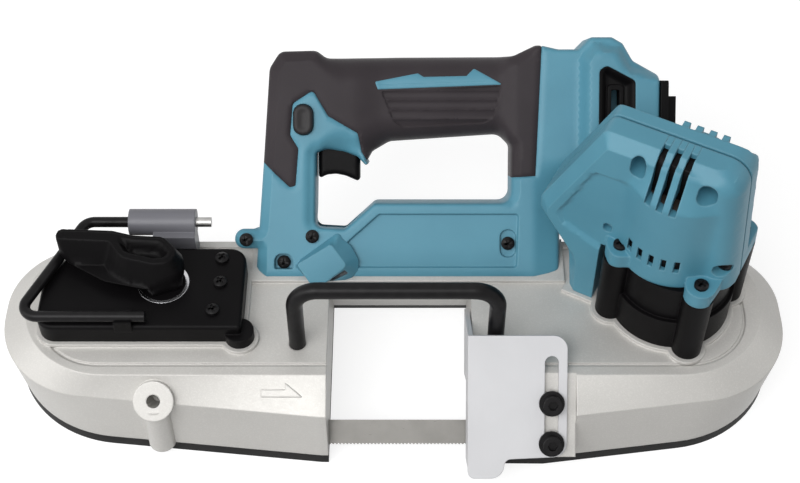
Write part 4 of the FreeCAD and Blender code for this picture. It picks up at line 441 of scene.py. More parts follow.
handle = {
    "half": 18.0, "lean": math.sqrt(0.5), "startY": -31.1, "startZ": 54.0, "seatRise": 2.83,
    "flare": 8.0, "backFlare": 12.0, "flareBlend": 6.0, "seamDepth": 0.9, "seamWidth": 1.1,
    "panelDepth": 2.0, "panelWall": 0.8, "wellDepth": 4.0, "wellWall": 0.4, "barDip": 2.2,
    "ribPitch": 5.0, "ribStart": 81.0, "ribDepth": 0.9, "ribWall": 0.6,
    "footStep": 30.0, "footRamp": 14.0, "footThick": 6.0, "footLeast": 0.1,
    "earThick": 7.0, "earRight": -72.6, "taperStart": 74.1, "taperLength": 14.0, "taperSlope": 0.3,
    "slotLeft": -40.4, "slotRight": -16.6, "slotTop": 88.0, "slotHalf": 8.4,
    "plainEdge": 2.4, "barEdge": 12.4, "postEdge": 3.0, "collarEdge": 2.2, "facetSlope": 0.8,
}
blends = {  # where one form of the handle runs into the next, from and to
    "barUp": (60, 74), "barLeft": (-46, -24), "barRight": (54, 63), "postRight": (-48, -34),
    "collarLeft": (56, 62), "collarRight": (70, 76), "facetLeft": (-44, -38), "facetStart": (60, 63),
    "facetEnd": (70, 74), "dipLeft": (-22, -4), "dipRight": (56, 65), "dipUp": (64, 74), "taperUp": (52, 66),
}
panelCorners = [
    (-16.5, 68.7, 1), (-18.5, 78.7, 2), (-33.9, 87.6, 2), (-41.8, 101, 2), (-52.3, 94.1, 3), (-53.7, 77.7, 3),
    (-49.5, 70.7, 3), (-51.1, 51.2, 1), (-54.2, 50.5, 1),
]
topRun = [
    (88, 30, 6), (110, 46, 6), (138, 46, 3), (138, 109, 3), (124.8, 116.4, 4), (119.5, 125.4, 3),
    (113.8, 128.6, 3), (102.7, 128.6, 3), (96.5, 122.3, 2), (86, 122.3, 3), (77.2, 124.3, 1),
]
barTop = [
    (74, 124.3, 3), (62.6, 118.8, 8), (3.6, 118.5, 200), (-34.9, 117.8, 6), (-40, 121.7, 5), (-59, 121.2, 5),
    (-64.6, 112.5, 8), (-68, 63.5),
]
earRun = [(-70.6, 28.3, 0.5), (-83.5, 28.3, 5.2), (-83.5, 17.9, 5.2), (-71.4, 17.9, 0.5)]
bridgeRun = [
    (62.1, 55.5), (62.1, 42.3, 6), (-9.6, 42.3, 4), (-25.4, 28.6, 3), (-41, 29.5, 4), (-40.4, 68.4, 2),
    (-34.9, 70.4, 6), (-24.9, 68.4, 6), (-18.9, 66.4, 4), (-14.4, 61.9, 0.8), (-12.7, 62.9, 0.6),
]
barUnder = [(-13.65, 64.35, 0.3), (-11, 69, 3), (-2, 74.2, 8), (55.5, 78, 8), (62.1, 72, 4)]
collarFoot, postTop = (74.5, 56.4), (-68, 63.5)
outerLoop = roundLoop([(-72.5, -20), (88, -20), *topRun, *barTop, *earRun])
windowLoop = roundLoop([*barUnder, *bridgeRun[1:]])
flareLoop = roundLoop([(96, 62, 4), (112, 48, 4), (150, 48), (150, 107, 3), (124, 114.5, 4), (118.5, 124, 3),
                       (104, 126.5, 3), (96, 118, 4)])
panelLoop = roundLoop([(-20.2, 8, 2), (65.3, 8, 2), (66.1, 36.7, 2), (-7.6, 36.7, 3), (-24.6, 21.6, 2)])
archLoop = roundLoop([(-62.5, 7.4, 0.8), (-52.5, 7.4, 0.8), (-52.5, 15.6, 4.9), (-62.5, 15.6, 4.9)], 0.8)
wellLoops = [archLoop, ovalLoop(60.4, 20.8, 4.3, 7.5, 0.8)]
buttonLoop = ovalLoop(-46.8, 85.8, 5.4, 8.2, 0.8)
latchLoop = roundLoop([(106.2, 74, 3), (125.2, 74, 3), (125, 105.8, 3), (110.2, 113.6, 3), (106.2, 111.4, 3)],
                      0.9)
ribLoop = roundLoop([(-6.5, 100.6, 1), (0, 84.7, 4), (5, 81.5, 3), (47.8, 83.7, 3), (52.8, 86.6, 3),
                     (56.7, 103.5, 1)])
shellOutline = roundLoop([(-72.5, 3.3), (88, 3.3), *topRun, collarFoot, *bridgeRun, *panelCorners, postTop,
                          *earRun])
gripOutline = roundLoop([*panelCorners[::-1], *barUnder, bridgeRun[0], collarFoot, topRun[-1], *barTop])
rearOutline = roundLoop([(-72.5, 21.4), (88, 21.4), *topRun, collarFoot, *bridgeRun, *panelCorners, postTop])


def handlePlace(front):
    side = 1 if front else -1

    def place(x, up, height):
        out = side * height - handle["half"]
        return (x * mm, (handle["startY"] + handle["lean"] * (up - out)) * mm,
                (handle["startZ"] + handle["lean"] * (up + out)) * mm)
    return place


def edgeRadius(spots):
    # Full round on the bar, a facet on the posts, a small round on the bridge and the battery end
    x, up = spots[:, 0], spots[:, 1]
    bar = smooth(up, *blends["barUp"]) * smooth(x, *blends["barLeft"]) * (1 - smooth(x, *blends["barRight"]))
    post = 1 - smooth(x, *blends["postRight"])
    collar = smooth(x, *blends["collarLeft"]) * (1 - smooth(x, *blends["collarRight"]))
    return (handle["plainEdge"] + handle["barEdge"] * bar + handle["postEdge"] * post
            + handle["collarEdge"] * collar)


edgeRows = np.concatenate([insetRows(outerLoop, edgeShares, edgeRadius),
                           insetRows(windowLoop, [-share for share in edgeShares], edgeRadius)])


def edgeDrop(spots):
    # How far the face falls towards the outline
    x = spots[:, 0]
    radius = edgeRadius(spots)
    near = np.minimum(loopDistance(spots, outerLoop), loopDistance(spots, windowLoop))
    near = np.where(insideLoop(spots, outerLoop) & ~insideLoop(spots, windowLoop), near, 0)
    facet = radius * handle["facetSlope"] * np.clip(1 - near / radius, 0, 1)
    collar = smooth(x, *blends["facetStart"]) * (1 - smooth(x, *blends["facetEnd"]))
    posts = np.maximum(1 - smooth(x, *blends["facetLeft"]), collar)
    return roundFall(near, radius) * (1 - posts) + facet * posts


def flareShare(spots):
    return smooth(depthIn(spots, flareLoop), 0, handle["flareBlend"])


def faceHeight(spots):
    # Front face of both mouldings before their own seams and recesses
    x, up = spots[:, 0], spots[:, 1]
    height = handle["half"] - edgeDrop(spots)
    bar = smooth(x, *blends["dipLeft"]) * (1 - smooth(x, *blends["dipRight"])) * smooth(up, *blends["dipUp"])
    height -= handle["barDip"] * bar
    height += handle["flare"] * flareShare(spots)
    taper = handle["taperSlope"] * np.clip(x - handle["taperStart"], 0, handle["taperLength"])
    return height - taper * (1 - smooth(up, *blends["taperUp"]))


def ribs(spots):
    # Shallow scallops across the bar, with a crest line between them
    share = np.mod((spots[:, 1] - handle["ribStart"]) / handle["ribPitch"], 1)
    scallop = 1 - np.abs(2 * share - 1) ** 3
    return handle["ribDepth"] * scallop * smooth(depthIn(spots, ribLoop), 0, handle["ribWall"])


def ownSeam(spots, loop):
    return handle["seamDepth"] * (1 - smooth(loopDistance(spots, loop), 0, handle["seamWidth"]))


def triggerSlot(spots):
    x, up = spots[:, 0], spots[:, 1]
    return (x > handle["slotLeft"]) & (x < handle["slotRight"]) & (up < handle["slotTop"])


def frontInside(spots):
    # Inner face of a front moulding: the seam, the slant that stands on the deck seat, and the trigger slot
    x, up = spots[:, 0], spots[:, 1]
    inner = np.maximum(0, handle["half"] + handle["seatRise"] - up)
    inner = np.where(x < handle["earRight"], handle["half"] - handle["earThick"], inner)
    return np.where(triggerSlot(spots), np.maximum(inner, handle["slotHalf"]), inner)


def rearInside(spots):
    return np.where(triggerSlot(spots), handle["slotHalf"], 0.0)


def shellFront(spots):
    height = faceHeight(spots) - ownSeam(spots, shellOutline)
    height -= handle["panelDepth"] * np.clip(depthIn(spots, panelLoop) / handle["panelWall"], 0, 1)
    for loop in wellLoops:
        well = np.clip(depthIn(spots, loop) / handle["wellWall"], 0, 1)
        height = height * (1 - well) + (handle["half"] - handle["wellDepth"]) * well
    return height


def shellRear(spots):
    up = spots[:, 1]
    ramp = np.clip((up - handle["footStep"]) / handle["footRamp"], 0, 1)
    thick = handle["footThick"] + (handle["half"] - handle["footThick"]) * ramp
    flare = flareShare(spots)
    height = np.minimum(thick, faceHeight(spots) - handle["flare"] * flare) + handle["backFlare"] * flare
    seat = np.maximum(up - handle["half"] - handle["seatRise"], handle["footLeast"])
    return np.minimum(height - ownSeam(spots, rearOutline), seat)


def gripPlain(spots):
    return faceHeight(spots) - ownSeam(spots, gripOutline)


def gripFace(spots):
    return gripPlain(spots) - ribs(spots)


def makeHandle():
    shellCreases = [panelLoop, ringInset(panelLoop, handle["panelWall"]), *wellLoops,
                    *[ringInset(loop, handle["wellWall"]) for loop in wellLoops]]
    addMoulding("handle_front_moulding", ["handle_shell_front"], "teal_plastic", shellOutline, 2.2,
                shellFront, frontInside, handlePlace(True), [buttonLoop, latchLoop], shellCreases, edgeRows)
    addMoulding("handle_rear_moulding", ["handle_shell_rear"], "teal_plastic", rearOutline, 2.4, shellRear,
                rearInside, handlePlace(False), extra=edgeRows, mirrored=True)
    ribLines = np.array([(x, y) for y in np.arange(81, 106, 0.5) for x in np.arange(-7, 57.5, 1.6)])
    gripPoints = np.concatenate([edgeRows, ribLines[insideLoop(ribLines, ribLoop)]])
    gripCreases = [ribLoop, ringInset(ribLoop, handle["ribWall"])]
    for side, inside in (("front", frontInside), ("rear", rearInside)):
        front = side == "front"
        addMoulding(f"grip_{side}_overmould", [f"grip_{side}"], "grip_rubber", gripOutline, 2.0,
                    gripFace, inside, handlePlace(front), (), gripCreases, gripPoints, mirrored=not front)


makeHandle()
print("stage: handle mouldings made")


# Small mouldings on the handle, in the same coordinates

def domed(loop, top, radius, bowl=0.0):
    # A face with a rounded rim, dished in the middle by the bowl depth
    def height(spots):
        near = np.maximum(depthIn(spots, loop), 0)
        return top - roundFall(near, radius) - bowl * smooth(near, radius, 3 * radius)
    return height


def makeAccent():
    # Teal flash let into the top of the grip, with a fine line along its lower edge
    accent = {"proud": 0.4, "sunk": 1.2, "line": 1.7, "lineDepth": 0.35, "lineHalf": 0.5, "rim": 0.25}
    left, right = (-8, 101.5, 0.4), (57.2, 104, 0.4)
    loop = roundLoop([left, right, (42.2, 112.4, 1), (38.3, 108.5, 1), (15.9, 108, 1), (12.9, 109.9, 1),
                      (-9.5, 105.5, 0.6)])
    lower = np.array([left[:2], right[:2]])

    def face(spots):
        inLine = 1 - smooth(np.abs(loopDistance(spots, lower) - accent["line"]), 0, accent["lineHalf"])
        rim = 1 - smooth(loopDistance(spots, loop), 0, accent["lineHalf"])
        return gripPlain(spots) + accent["proud"] - accent["lineDepth"] * inLine - accent["rim"] * rim

    addMoulding("grip_accent", [], "teal_plastic", loop, 0.7, face,
                lambda spots: gripPlain(spots) - accent["sunk"], handlePlace(True))


def makeTrigger():
    # Trigger blade with a finger hollow along its lower edge
    trigger = {"half": 8.0, "round": 2.6}
    loop = roundLoop([(-39.5, 54.3, 1.5), (-35.3, 56.6, 8), (-30.2, 57.1, 8), (-25.2, 56.1, 8),
                      (-17.6, 52.8, 1.5), (-17.6, 78, 1), (-39.5, 78, 1)], 0.8)
    face = domed(loop, trigger["half"], trigger["round"])
    addMoulding("trigger_blade", ["trigger"], "black_plastic", loop, 1.6, face, lambda spots: -face(spots),
                handlePlace(True), extra=insetRows(loop, edgeShares, level(trigger["round"])), body="trigger")


def makeButton():
    # Lock button: an oval cap with a shallow thumb dish
    button = {"top": 21.6, "bottom": 9.0, "round": 1.6, "bowl": 0.5}
    loop = ovalLoop(-46.8, 85.8, 5.1, 7.9, 0.6)
    face = domed(loop, button["top"], button["round"], button["bowl"])
    addMoulding("lock_button_cap", ["lock_button"], "button_plastic", loop, 0.9, face,
                level(button["bottom"]), handlePlace(True),
                extra=insetRows(loop, edgeShares, level(button["round"])), body="lock_button")


def makeLatch():
    # Battery latch well: a dished liner round a raised frame with a dark slot in it
    latch = {"rim": 25.7, "dish": 3.4, "dishFrom": 0.2, "dishTo": 4.5, "frame": 1.5, "frameWall": 0.5,
             "bottom": 14.0}
    loop = roundLoop([(106.4, 74.2, 3), (125, 74.2, 3), (124.8, 105.7, 3), (110.2, 113.4, 3),
                      (106.4, 111.3, 3)], 0.8)
    slot = boxLoop(112.7, 86.8, 117, 101.2, 1, 0.6)
    collar = boxLoop(110.9, 84.4, 119, 103.6, 2, 0.7)
    collarWall = boxLoop(110.4, 83.9, 119.5, 104.1, 2.2, 0.7)

    def face(spots):
        fall = latch["dish"] * smooth(depthIn(spots, loop), latch["dishFrom"], latch["dishTo"])
        raised = latch["frame"] * np.clip(1 + depthIn(spots, collar) / latch["frameWall"], 0, 1)
        return latch["rim"] - fall + raised

    addMoulding("latch_liner", ["slot_insert"], "black_plastic", loop, 0.9, face, level(latch["bottom"]),
                handlePlace(True), [slot], [collar, collarWall])


def makeLamp():
    # Work light: a faceted hood at the foot of the handle with a window along its lower right edge
    lamp = {"rise": 7.0, "sunk": 0.4, "window": 1.6, "windowDome": 0.4, "deckClear": 2.9, "sharp": 24}
    loop = roundLoop([(-51.5, 9.1, 1), (-48.3, 12.9, 2), (-28.7, 27.1, 2), (-26.3, 23.4, 3), (-22, 19.9, 6),
                      (-18, 12.4, 5), (-18.3, 7, 5), (-21.5, 3.2, 3), (-25, 0.9, 1), (-44, 0.9, 1)], 0.9)
    top = roundLoop([(-50, 10.7, 1), (-32.4, 21.1, 1.5), (-24.2, 10.1, 2), (-35.2, 1, 1), (-43.6, 1, 1)], 0.9)
    window = roundLoop([(-25.4, 7.6, 0.5), (-23.4, 5.6, 0.5), (-31.6, 1.6, 0.5), (-34.2, 1.6, 0.5)], 0.6)

    def face(spots):
        outer = np.maximum(depthIn(spots, loop), 0)
        inner = np.maximum(-depthIn(spots, top), 0)
        share = np.where(inner < 0.02, 1, outer / np.maximum(outer + inner, 1e-6))
        return handle["half"] + lamp["rise"] * share

    def under(spots):
        return np.maximum(handle["half"] - lamp["sunk"], handle["half"] + lamp["deckClear"] - spots[:, 1])

    def lens(spots):
        return under(spots) + lamp["window"] - lamp["windowDome"] * smooth(loopDistance(spots, window), 0, 1)

    addMoulding("light_hood", ["light_housing"], "teal_plastic", loop, 1.2, face, under, handlePlace(True),
                [window], [top], sharp=lamp["sharp"])
    addMoulding("light_window", ["light_lens"], "lens_clear", window, 0.8, lens, under, handlePlace(True))


makeAccent()
makeTrigger()
makeButton()
makeLatch()
makeLamp()
print("stage: handle fittings made")


# Motor housing: across and up in the motor's own turned plane, height out from its axis

motor = {
    "x": 143.0, "y": -43.1, "z": 98.0, "turn": math.radians(-28), "seam": 1.5, "plate": 18.0,
    "bevel": 6.0, "bevelSlope": 0.95, "sideRound": 10.0, "roundFrom": 10.0, "roundTo": 20.0,
    "barrelAcross": -4.0, "barrelRadius": 27.5, "shoulder": 52.0, "barrelTop": 71.0, "barrelTopRadius": 17.5,
    "roof": 74.0, "cavity": 22.5, "cavityTop": 56.0, "bearing": 10.0, "bearingTop": 66.0, "fillet": 4.0,
    "lobeRadius": 7.5, "lobeReach": 31.5, "flange": 8.0, "panelDepth": 1.6, "panelWall": 1.2,
    "panelEnd": (-31, -24), "ovalFloor": 5.0, "recessWall": 0.35, "pinFloor": 12.0, "screwFloor": 11.0,
    "screwSpot": (25.5, 14), "slitWidth": 3.2, "slitLow": 50.0, "slitFit": 0.02, "slitFill": 57.0,
    "fillHeight": 7.5, "shadeSheetDepth": 2.6, "shadeSheetTop": 16.0, "ventLeft": -20.6, "ventPitch": 6.3, "vents": 5,
    "ventWidth": 2.6, "ventLow": 11.0, "ventTall": 8.0, "backSlope": 15.0, "backFall": 11.0,
    "backStart": 58.0, "toothTop": 11.0, "toothLow": 62.0, "toothHalf": 1.65, "toothDrop": 0.3,
    "handleGap": 44.0, "rearLeast": 0.5, "wallFoot": 0.06, "hair": 0.01, "sharp": 30,
}
slitPlaces = [-14.0, -7.5, -1.0]
toothPlaces = [-11.2, -4.7, 1.8, 8.3]
bevelRows = [0.35, 0.7, 1.0, 1.03, 1.3, 1.66]
frontLobes, rearLobes = [(-24.8, 19.4), (19.4, 24.8)], [(24.8, 19.4), (-19.4, 24.8)]
roofLeft, wingTip, roofRight = (-43, motor["roof"], 5), [(-71, 14, 5), (-71, 6, 5)], (25, motor["roof"], 12)
bevelLoop = roundLoop([(33.5, -20), roofRight, roofLeft, *wingTip, (-53, -18, 10), (-49.5, -90)])
motorPanel = roundLoop([(-20, 2, 2), (-20, 51, 4), (-44.4, 50, 6), (-60, 13, 4), (-57, 6, 3), (-34.6, -3, 3)])
motorRecesses = [
    (ovalLoop(-23.2, 63.5, 3.8, 6.2, 0.7), motor["ovalFloor"]),
    (ovalLoop(11.3, 62.5, 4.6, 5.6, 0.7), motor["ovalFloor"]),
    (ovalLoop(-33.5, 13.5, 2.3, 3, 0.6), motor["pinFloor"]),
    (ovalLoop(*motor["screwSpot"], 4.2, 4.2, 0.6), motor["screwFloor"]),
]


def motorPlace(front):
    cos, sin = math.cos(motor["turn"]), math.sin(motor["turn"])

    def place(across, up, height):
        back = -height if front else height
        return ((motor["x"] + across * cos - back * sin) * mm, (motor["y"] + across * sin + back * cos) * mm,
                (motor["z"] + up) * mm)
    return place


def blendUp(first, second, width):
    # The higher of two surfaces with a fillet between them
    share = np.clip(0.5 + 0.5 * (second - first) / width, 0, 1)
    return first * (1 - share) + second * share + width * share * (1 - share)


def motorBody(spots, lobes):
    # Plate with bevelled edges, the barrel with its shoulder, and the screw lobes of the flange
    across, up = spots[:, 0], spots[:, 1]
    near = np.where(insideLoop(spots, bevelLoop), loopDistance(spots, bevelLoop), 0)
    facet = motor["bevel"] * motor["bevelSlope"] * np.clip(1 - near / motor["bevel"], 0, 1)
    right = smooth(across, motor["roundFrom"], motor["roundTo"])
    plate = motor["plate"] - facet * (1 - right) - roundFall(near, motor["sideRound"]) * right
    taper = np.clip((up - motor["shoulder"]) / (motor["barrelTop"] - motor["shoulder"]), 0, 1)
    radius = motor["barrelRadius"] + (motor["barrelTopRadius"] - motor["barrelRadius"]) * taper
    barrel = np.sqrt(np.maximum(radius ** 2 - (across - motor["barrelAcross"]) ** 2, 0))
    height = blendUp(plate, np.where(up < motor["barrelTop"] - 0.5, barrel, 0), motor["fillet"])
    for lobeAcross, lobeOut in lobes:
        span = motor["lobeRadius"] ** 2 - (across - lobeAcross) ** 2
        lobe = np.where(span > 0, lobeOut + np.sqrt(np.maximum(span, 0)), 0)
        onFlange = up < motor["flange"] + motor["hair"]
        height = np.where(onFlange, blendUp(height, lobe, motor["fillet"]), height)
    return height


def motorInside(spots, seam):
    # Room for the stator and the rear bearing behind the seam
    across, up = spots[:, 0], spots[:, 1]
    room = np.where(up < motor["bearingTop"], motor["bearing"], 0)
    room = np.where(up < motor["cavityTop"], motor["cavity"], room)
    return np.maximum(np.sqrt(np.maximum(room ** 2 - across ** 2, 0)), seam)


def ledgeLoops(lobes):
    # Two lines a hair apart along the flat top of each lobe
    low, high = motor["flange"], motor["flange"] + motor["wallFoot"]
    return [boxLoop(across - 8, low, across + 8, high, 0, 0.6) for across, out in lobes]


def slitCorners(half, first, second):
    # Corners along three slits or prongs, from right to left
    return [corner for place in slitPlaces[::-1] for corner in (
        (place + half, first), (place + half, second), (place - half, second), (place - half, first))]


def frontBody(spots):
    return motorBody(spots, frontLobes)


def frontRoom(spots):
    return motorInside(spots, motor["seam"])


# Face for the black sheets of painted shade behind the slits and vents, a little below the front face
def frontShadeSheet(spots):
    return frontBody(spots) - motor["shadeSheetDepth"]


def makeSlitFill(name, low, high, top, slot):
    # Three prongs that fill the slits to a given height, joined below
    half = motor["slitWidth"] / 2 - motor["slitFit"]
    left, right = slitPlaces[0] - half, slitPlaces[-1] + half
    outline = roundLoop([(left, low - 1), (right, low - 1), *slitCorners(half, low, high)], 0.9)
    addMoulding(name, [], slot, outline, 1.5, top, level(motor["seam"]), motorPlace(True))


def makeMotorFront():
    notches = slitCorners(motor["slitWidth"] / 2, motor["roof"], motor["slitLow"])
    outline = roundLoop([(32, 0), roofRight, *notches, roofLeft, *wingTip, (-53, -18, 10), (-49.5, -42),
                         (-35.5, -42), (-35.5, 0)])
    vents = []
    for step in range(motor["vents"]):
        left = motor["ventLeft"] + motor["ventPitch"] * step
        vents.append(boxLoop(left, motor["ventLow"], left + motor["ventWidth"],
                             motor["ventLow"] + motor["ventTall"], 0, 1.2))

    def face(spots):
        sunk = np.clip(depthIn(spots, motorPanel) / motor["panelWall"], 0, 1)
        height = frontBody(spots) - motor["panelDepth"] * sunk * (1 - smooth(spots[:, 0], *motor["panelEnd"]))
        for loop, floor in motorRecesses:
            share = np.clip(depthIn(spots, loop) / motor["recessWall"], 0, 1)
            height = height * (1 - share) + np.minimum(floor, height) * share
        return height

    rows = insetRows(bevelLoop, bevelRows, level(motor["bevel"]))
    shoulder = np.array([(across, up) for up in (51.6, 52.2, 60, 66, 69, 70.5)
                         for across in np.arange(-30, 22, 1.4)])
    recesses = [loop for loop, floor in motorRecesses]
    recessFeet = [ringInset(loop, motor["recessWall"]) for loop in recesses]
    creases = [*recesses, *recessFeet, *ledgeLoops(frontLobes)]
    addMoulding("motor_front_moulding", ["motor_housing_front"], "teal_plastic", outline, 1.8, face,
                frontRoom, motorPlace(True), vents, creases, np.concatenate([rows, shoulder]),
                sharp=motor["sharp"])
    makeSlitFill("slit_backing", motor["slitFill"], motor["roof"], level(motor["fillHeight"]), "teal_plastic")
    # Black sheet down in the slits under the teal backing: painted shade for the dark inside of the housing
    makeSlitFill("slit_painted_shade", motor["slitLow"] + 1.5, motor["roof"] - 3,
                 lambda spots: np.minimum(frontShadeSheet(spots), motor["shadeSheetTop"]), "black_plastic")
    # Black sheet just behind the vents: painted shade for the dark inside of the housing
    addMoulding("vent_painted_shade", [], "black_plastic", boxLoop(-22, 9.5, 9, 20.5, 0, 1.0), 1.5, frontShadeSheet,
                frontRoom, motorPlace(True))


def makeMotorRear():
    # Rear half: the roof slopes away behind the seam, with four comb teeth standing on the slope
    half = motor["toothHalf"]
    low, high = motor["toothLow"], motor["roof"] - motor["toothDrop"]
    teeth = [boxLoop(place - half, low, place + half, high, 0, 0.8) for place in toothPlaces]
    outline = roundLoop([(32, 0), roofRight, roofLeft, *wingTip, (-53, -18, 4), (-35.5, -18), (-35.5, 0)])

    def face(spots):
        across, up = spots[:, 0], spots[:, 1]
        body = motorBody(spots, rearLobes)
        fall = motor["backFall"] * np.clip(1 - (motor["roof"] - up) / motor["backSlope"], 0, 1)
        height = np.where(up < motor["backStart"], body, np.minimum(body, motor["plate"] - fall))
        for loop in teeth:
            onTooth = depthIn(spots, loop) > -motor["hair"]
            height = np.where(onTooth, np.maximum(height, motor["toothTop"]), height)
        clear = (motor["handleGap"] + up - across * math.sin(motor["turn"])) / math.cos(motor["turn"])
        return np.minimum(height, np.maximum(clear, motor["rearLeast"] - motor["seam"]))

    rows = insetRows(bevelLoop, bevelRows, level(motor["bevel"]))
    creases = [*teeth, *[ringInset(loop, -motor["wallFoot"]) for loop in teeth], *ledgeLoops(rearLobes)]
    addMoulding("motor_rear_moulding", ["motor_housing_rear"], "teal_plastic", outline, 2.0, face,
                lambda spots: motorInside(spots, 0.05 - motor["seam"]), motorPlace(False), (), creases, rows,
                sharp=motor["sharp"], mirrored=True)


makeMotorFront()
makeMotorRear()
print("stage: motor mouldings made")


# Tension lever, seen from above: a tall fin at the left end, a thumb dish over the pivot

lever = {
    "y": -43.1, "top": 88.0, "under": 74.5, "least": 0.6, "hubUnder": 68.4, "hubRadius": 10.5,
    "pivot": (-118, 1), "slope": 2.0, "crestFlat": 0.6, "crestRound": 0.4, "crestWidth": 0.9, "dish": 6.5,
    "dishBlend": 5.0, "sharp": 50,
}


def makeLever():
    outline = roundLoop([(-173.5, 20.5, 2), (-172, 14.5, 3), (-166.6, 8.8, 6), (-146.9, -3.3, 14),
                         (-124.4, -8.7, 12), (-106.8, -2.3, 8), (-106.8, 8, 6), (-117.6, 16.5, 6),
                         (-133, 17.5, 8), (-144, 20.3, 10), (-157, 22, 10)], 1.0)
    crest = roundLoop([(-171.5, 15.3, 2), (-144, 13.8, 5), (-138.3, 5.2, 5), (-134, 2.2, 5),
                       (-120.6, -1.3, 8), (-113.2, -0.5, 4), (-110.5, 6.2, 4), (-117.6, 14.8, 5),
                       (-133.3, 15.8, 6), (-143.8, 18.9, 8), (-171, 20.2, 2)], 1.0)
    dish = roundLoop([(-140.5, 11.5, 2), (-137, 5.8, 4), (-133, 4, 5), (-120.6, 0.6, 6), (-114.5, 1.5, 4),
                      (-112.6, 6.2, 3), (-118, 13, 5), (-133, 14.2, 6), (-140.5, 16.4, 2)], 0.9)
    pivotX, pivotY = lever["pivot"]

    def face(spots):
        deep = depthIn(spots, crest)
        away = np.maximum(-deep - lever["crestFlat"], 0)
        rounded = lever["crestRound"] * (1 - smooth(np.abs(deep), 0, lever["crestWidth"]))
        height = lever["top"] - lever["slope"] * away - rounded
        height -= lever["dish"] * smooth(depthIn(spots, dish), 0, lever["dishBlend"])
        return np.maximum(height, lever["under"] + lever["least"])

    def under(spots):
        hub = np.hypot(spots[:, 0] - pivotX, spots[:, 1] - pivotY) < lever["hubRadius"]
        return np.where(hub, lever["hubUnder"], lever["under"])

    def place(x, y, height):
        return (x * mm, (y + lever["y"]) * mm, height * mm)

    ring = ovalLoop(pivotX, pivotY, lever["hubRadius"], lever["hubRadius"], 0.9)
    rows = insetRows(crest, [-1.4, -0.8, -0.4, 0.4, 0.8], level(1.0))
    addMoulding("tension_lever_paddle", ["tension_lever"], "black_plastic", outline, 1.6, face, under,
                place, (), [crest, dish, ring], rows, body="lever", sharp=lever["sharp"])


makeLever()
print("stage: lever made")


# Cast arrow for the blade's direction, laid on the slanted face of the casting

def makeArrow():
    arrow = {"spot": (-55.5, -97.0), "length": 21.5, "shaft": 4.1, "head": 7.7, "neck": 12.2, "corner": 0.4,
             "rise": 0.4, "sunk": 0.5}
    casting = BVHTree.FromObject(nodes["frame_casting"], bpy.context.evaluated_depsgraph_get())
    spot, normal = casting.ray_cast(Vector((*arrow["spot"], 200)) * mm, Vector((0, 0, -1)))[:2]
    across = (Vector((1, 0, 0)) - normal * normal.x).normalized()
    upward = normal.cross(across)
    corners = [(0, 0), (arrow["length"], 0), (arrow["neck"], arrow["head"]), (arrow["neck"], arrow["shaft"]),
               (0, arrow["shaft"])]
    loop = roundLoop([(*corner, arrow["corner"]) for corner in corners], 0.6)
    middle = Vector((arrow["length"] / 2, arrow["shaft"] / 2))

    def place(x, y, height):
        return tuple(spot + (across * (x - middle.x) + upward * (y - middle.y) + normal * height) * mm)

    addMoulding("direction_arrow", [], "cast_silver", loop, 0.8, domed(loop, arrow["rise"], arrow["rise"]),
                level(-arrow["sunk"]), place, extra=insetRows(loop, edgeShares, level(arrow["rise"])))


makeArrow()
print("stage: arrow made")


# Springs: each coil is a copy of its CAD mesh in place, finished as spring steel and carried by the frame

springs = {
    "tension_spring": {"joint": "carriage_slide", "axis": (1, 0, 0), "travel": 8.0},
    "trigger_spring": {"joint": "trigger_pull", "axis": (0, handle["lean"], handle["lean"]), "travel": 6.0},
}
for name, spring in springs.items():
    node = nodes[name]
    coil = node.data.copy()
    coil.name = name + "_coil"
    coil.transform(node.matrix_world)
    axis = Vector(spring["axis"])
    piece = finishPiece(coil, "frame", [name], "spring_steel")
    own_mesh(piece)
print("stage: springs made")


# Screws: cross-recess heads, one instance on each point, turned about its own axis

screw = {
    "Head Radius": 3.5 * mm, "Head Height": 2.6 * mm, "Recess Width": 1.3 * mm, "Seed": 4,
    "Finish": slotFinish["black_steel"],
}
screwForm = {"crown": 0.4, "recessReach": 1.3, "recessLift": 0.6, "sides": 36, "mostTurn": 1.5}
screwSpots = {
    "handle": [(-42.4, 24.8, 18), (-77, 23.1, 18), (-57.6, 11, 14), (60.4, 20.8, 14)],
    "lobeTurns": (10, 100, 190, 280),
    "cover": [(-89, -26.1), (-88.8, -41.9), (-91.4, -59.8)], "coverTop": 68.0,
}


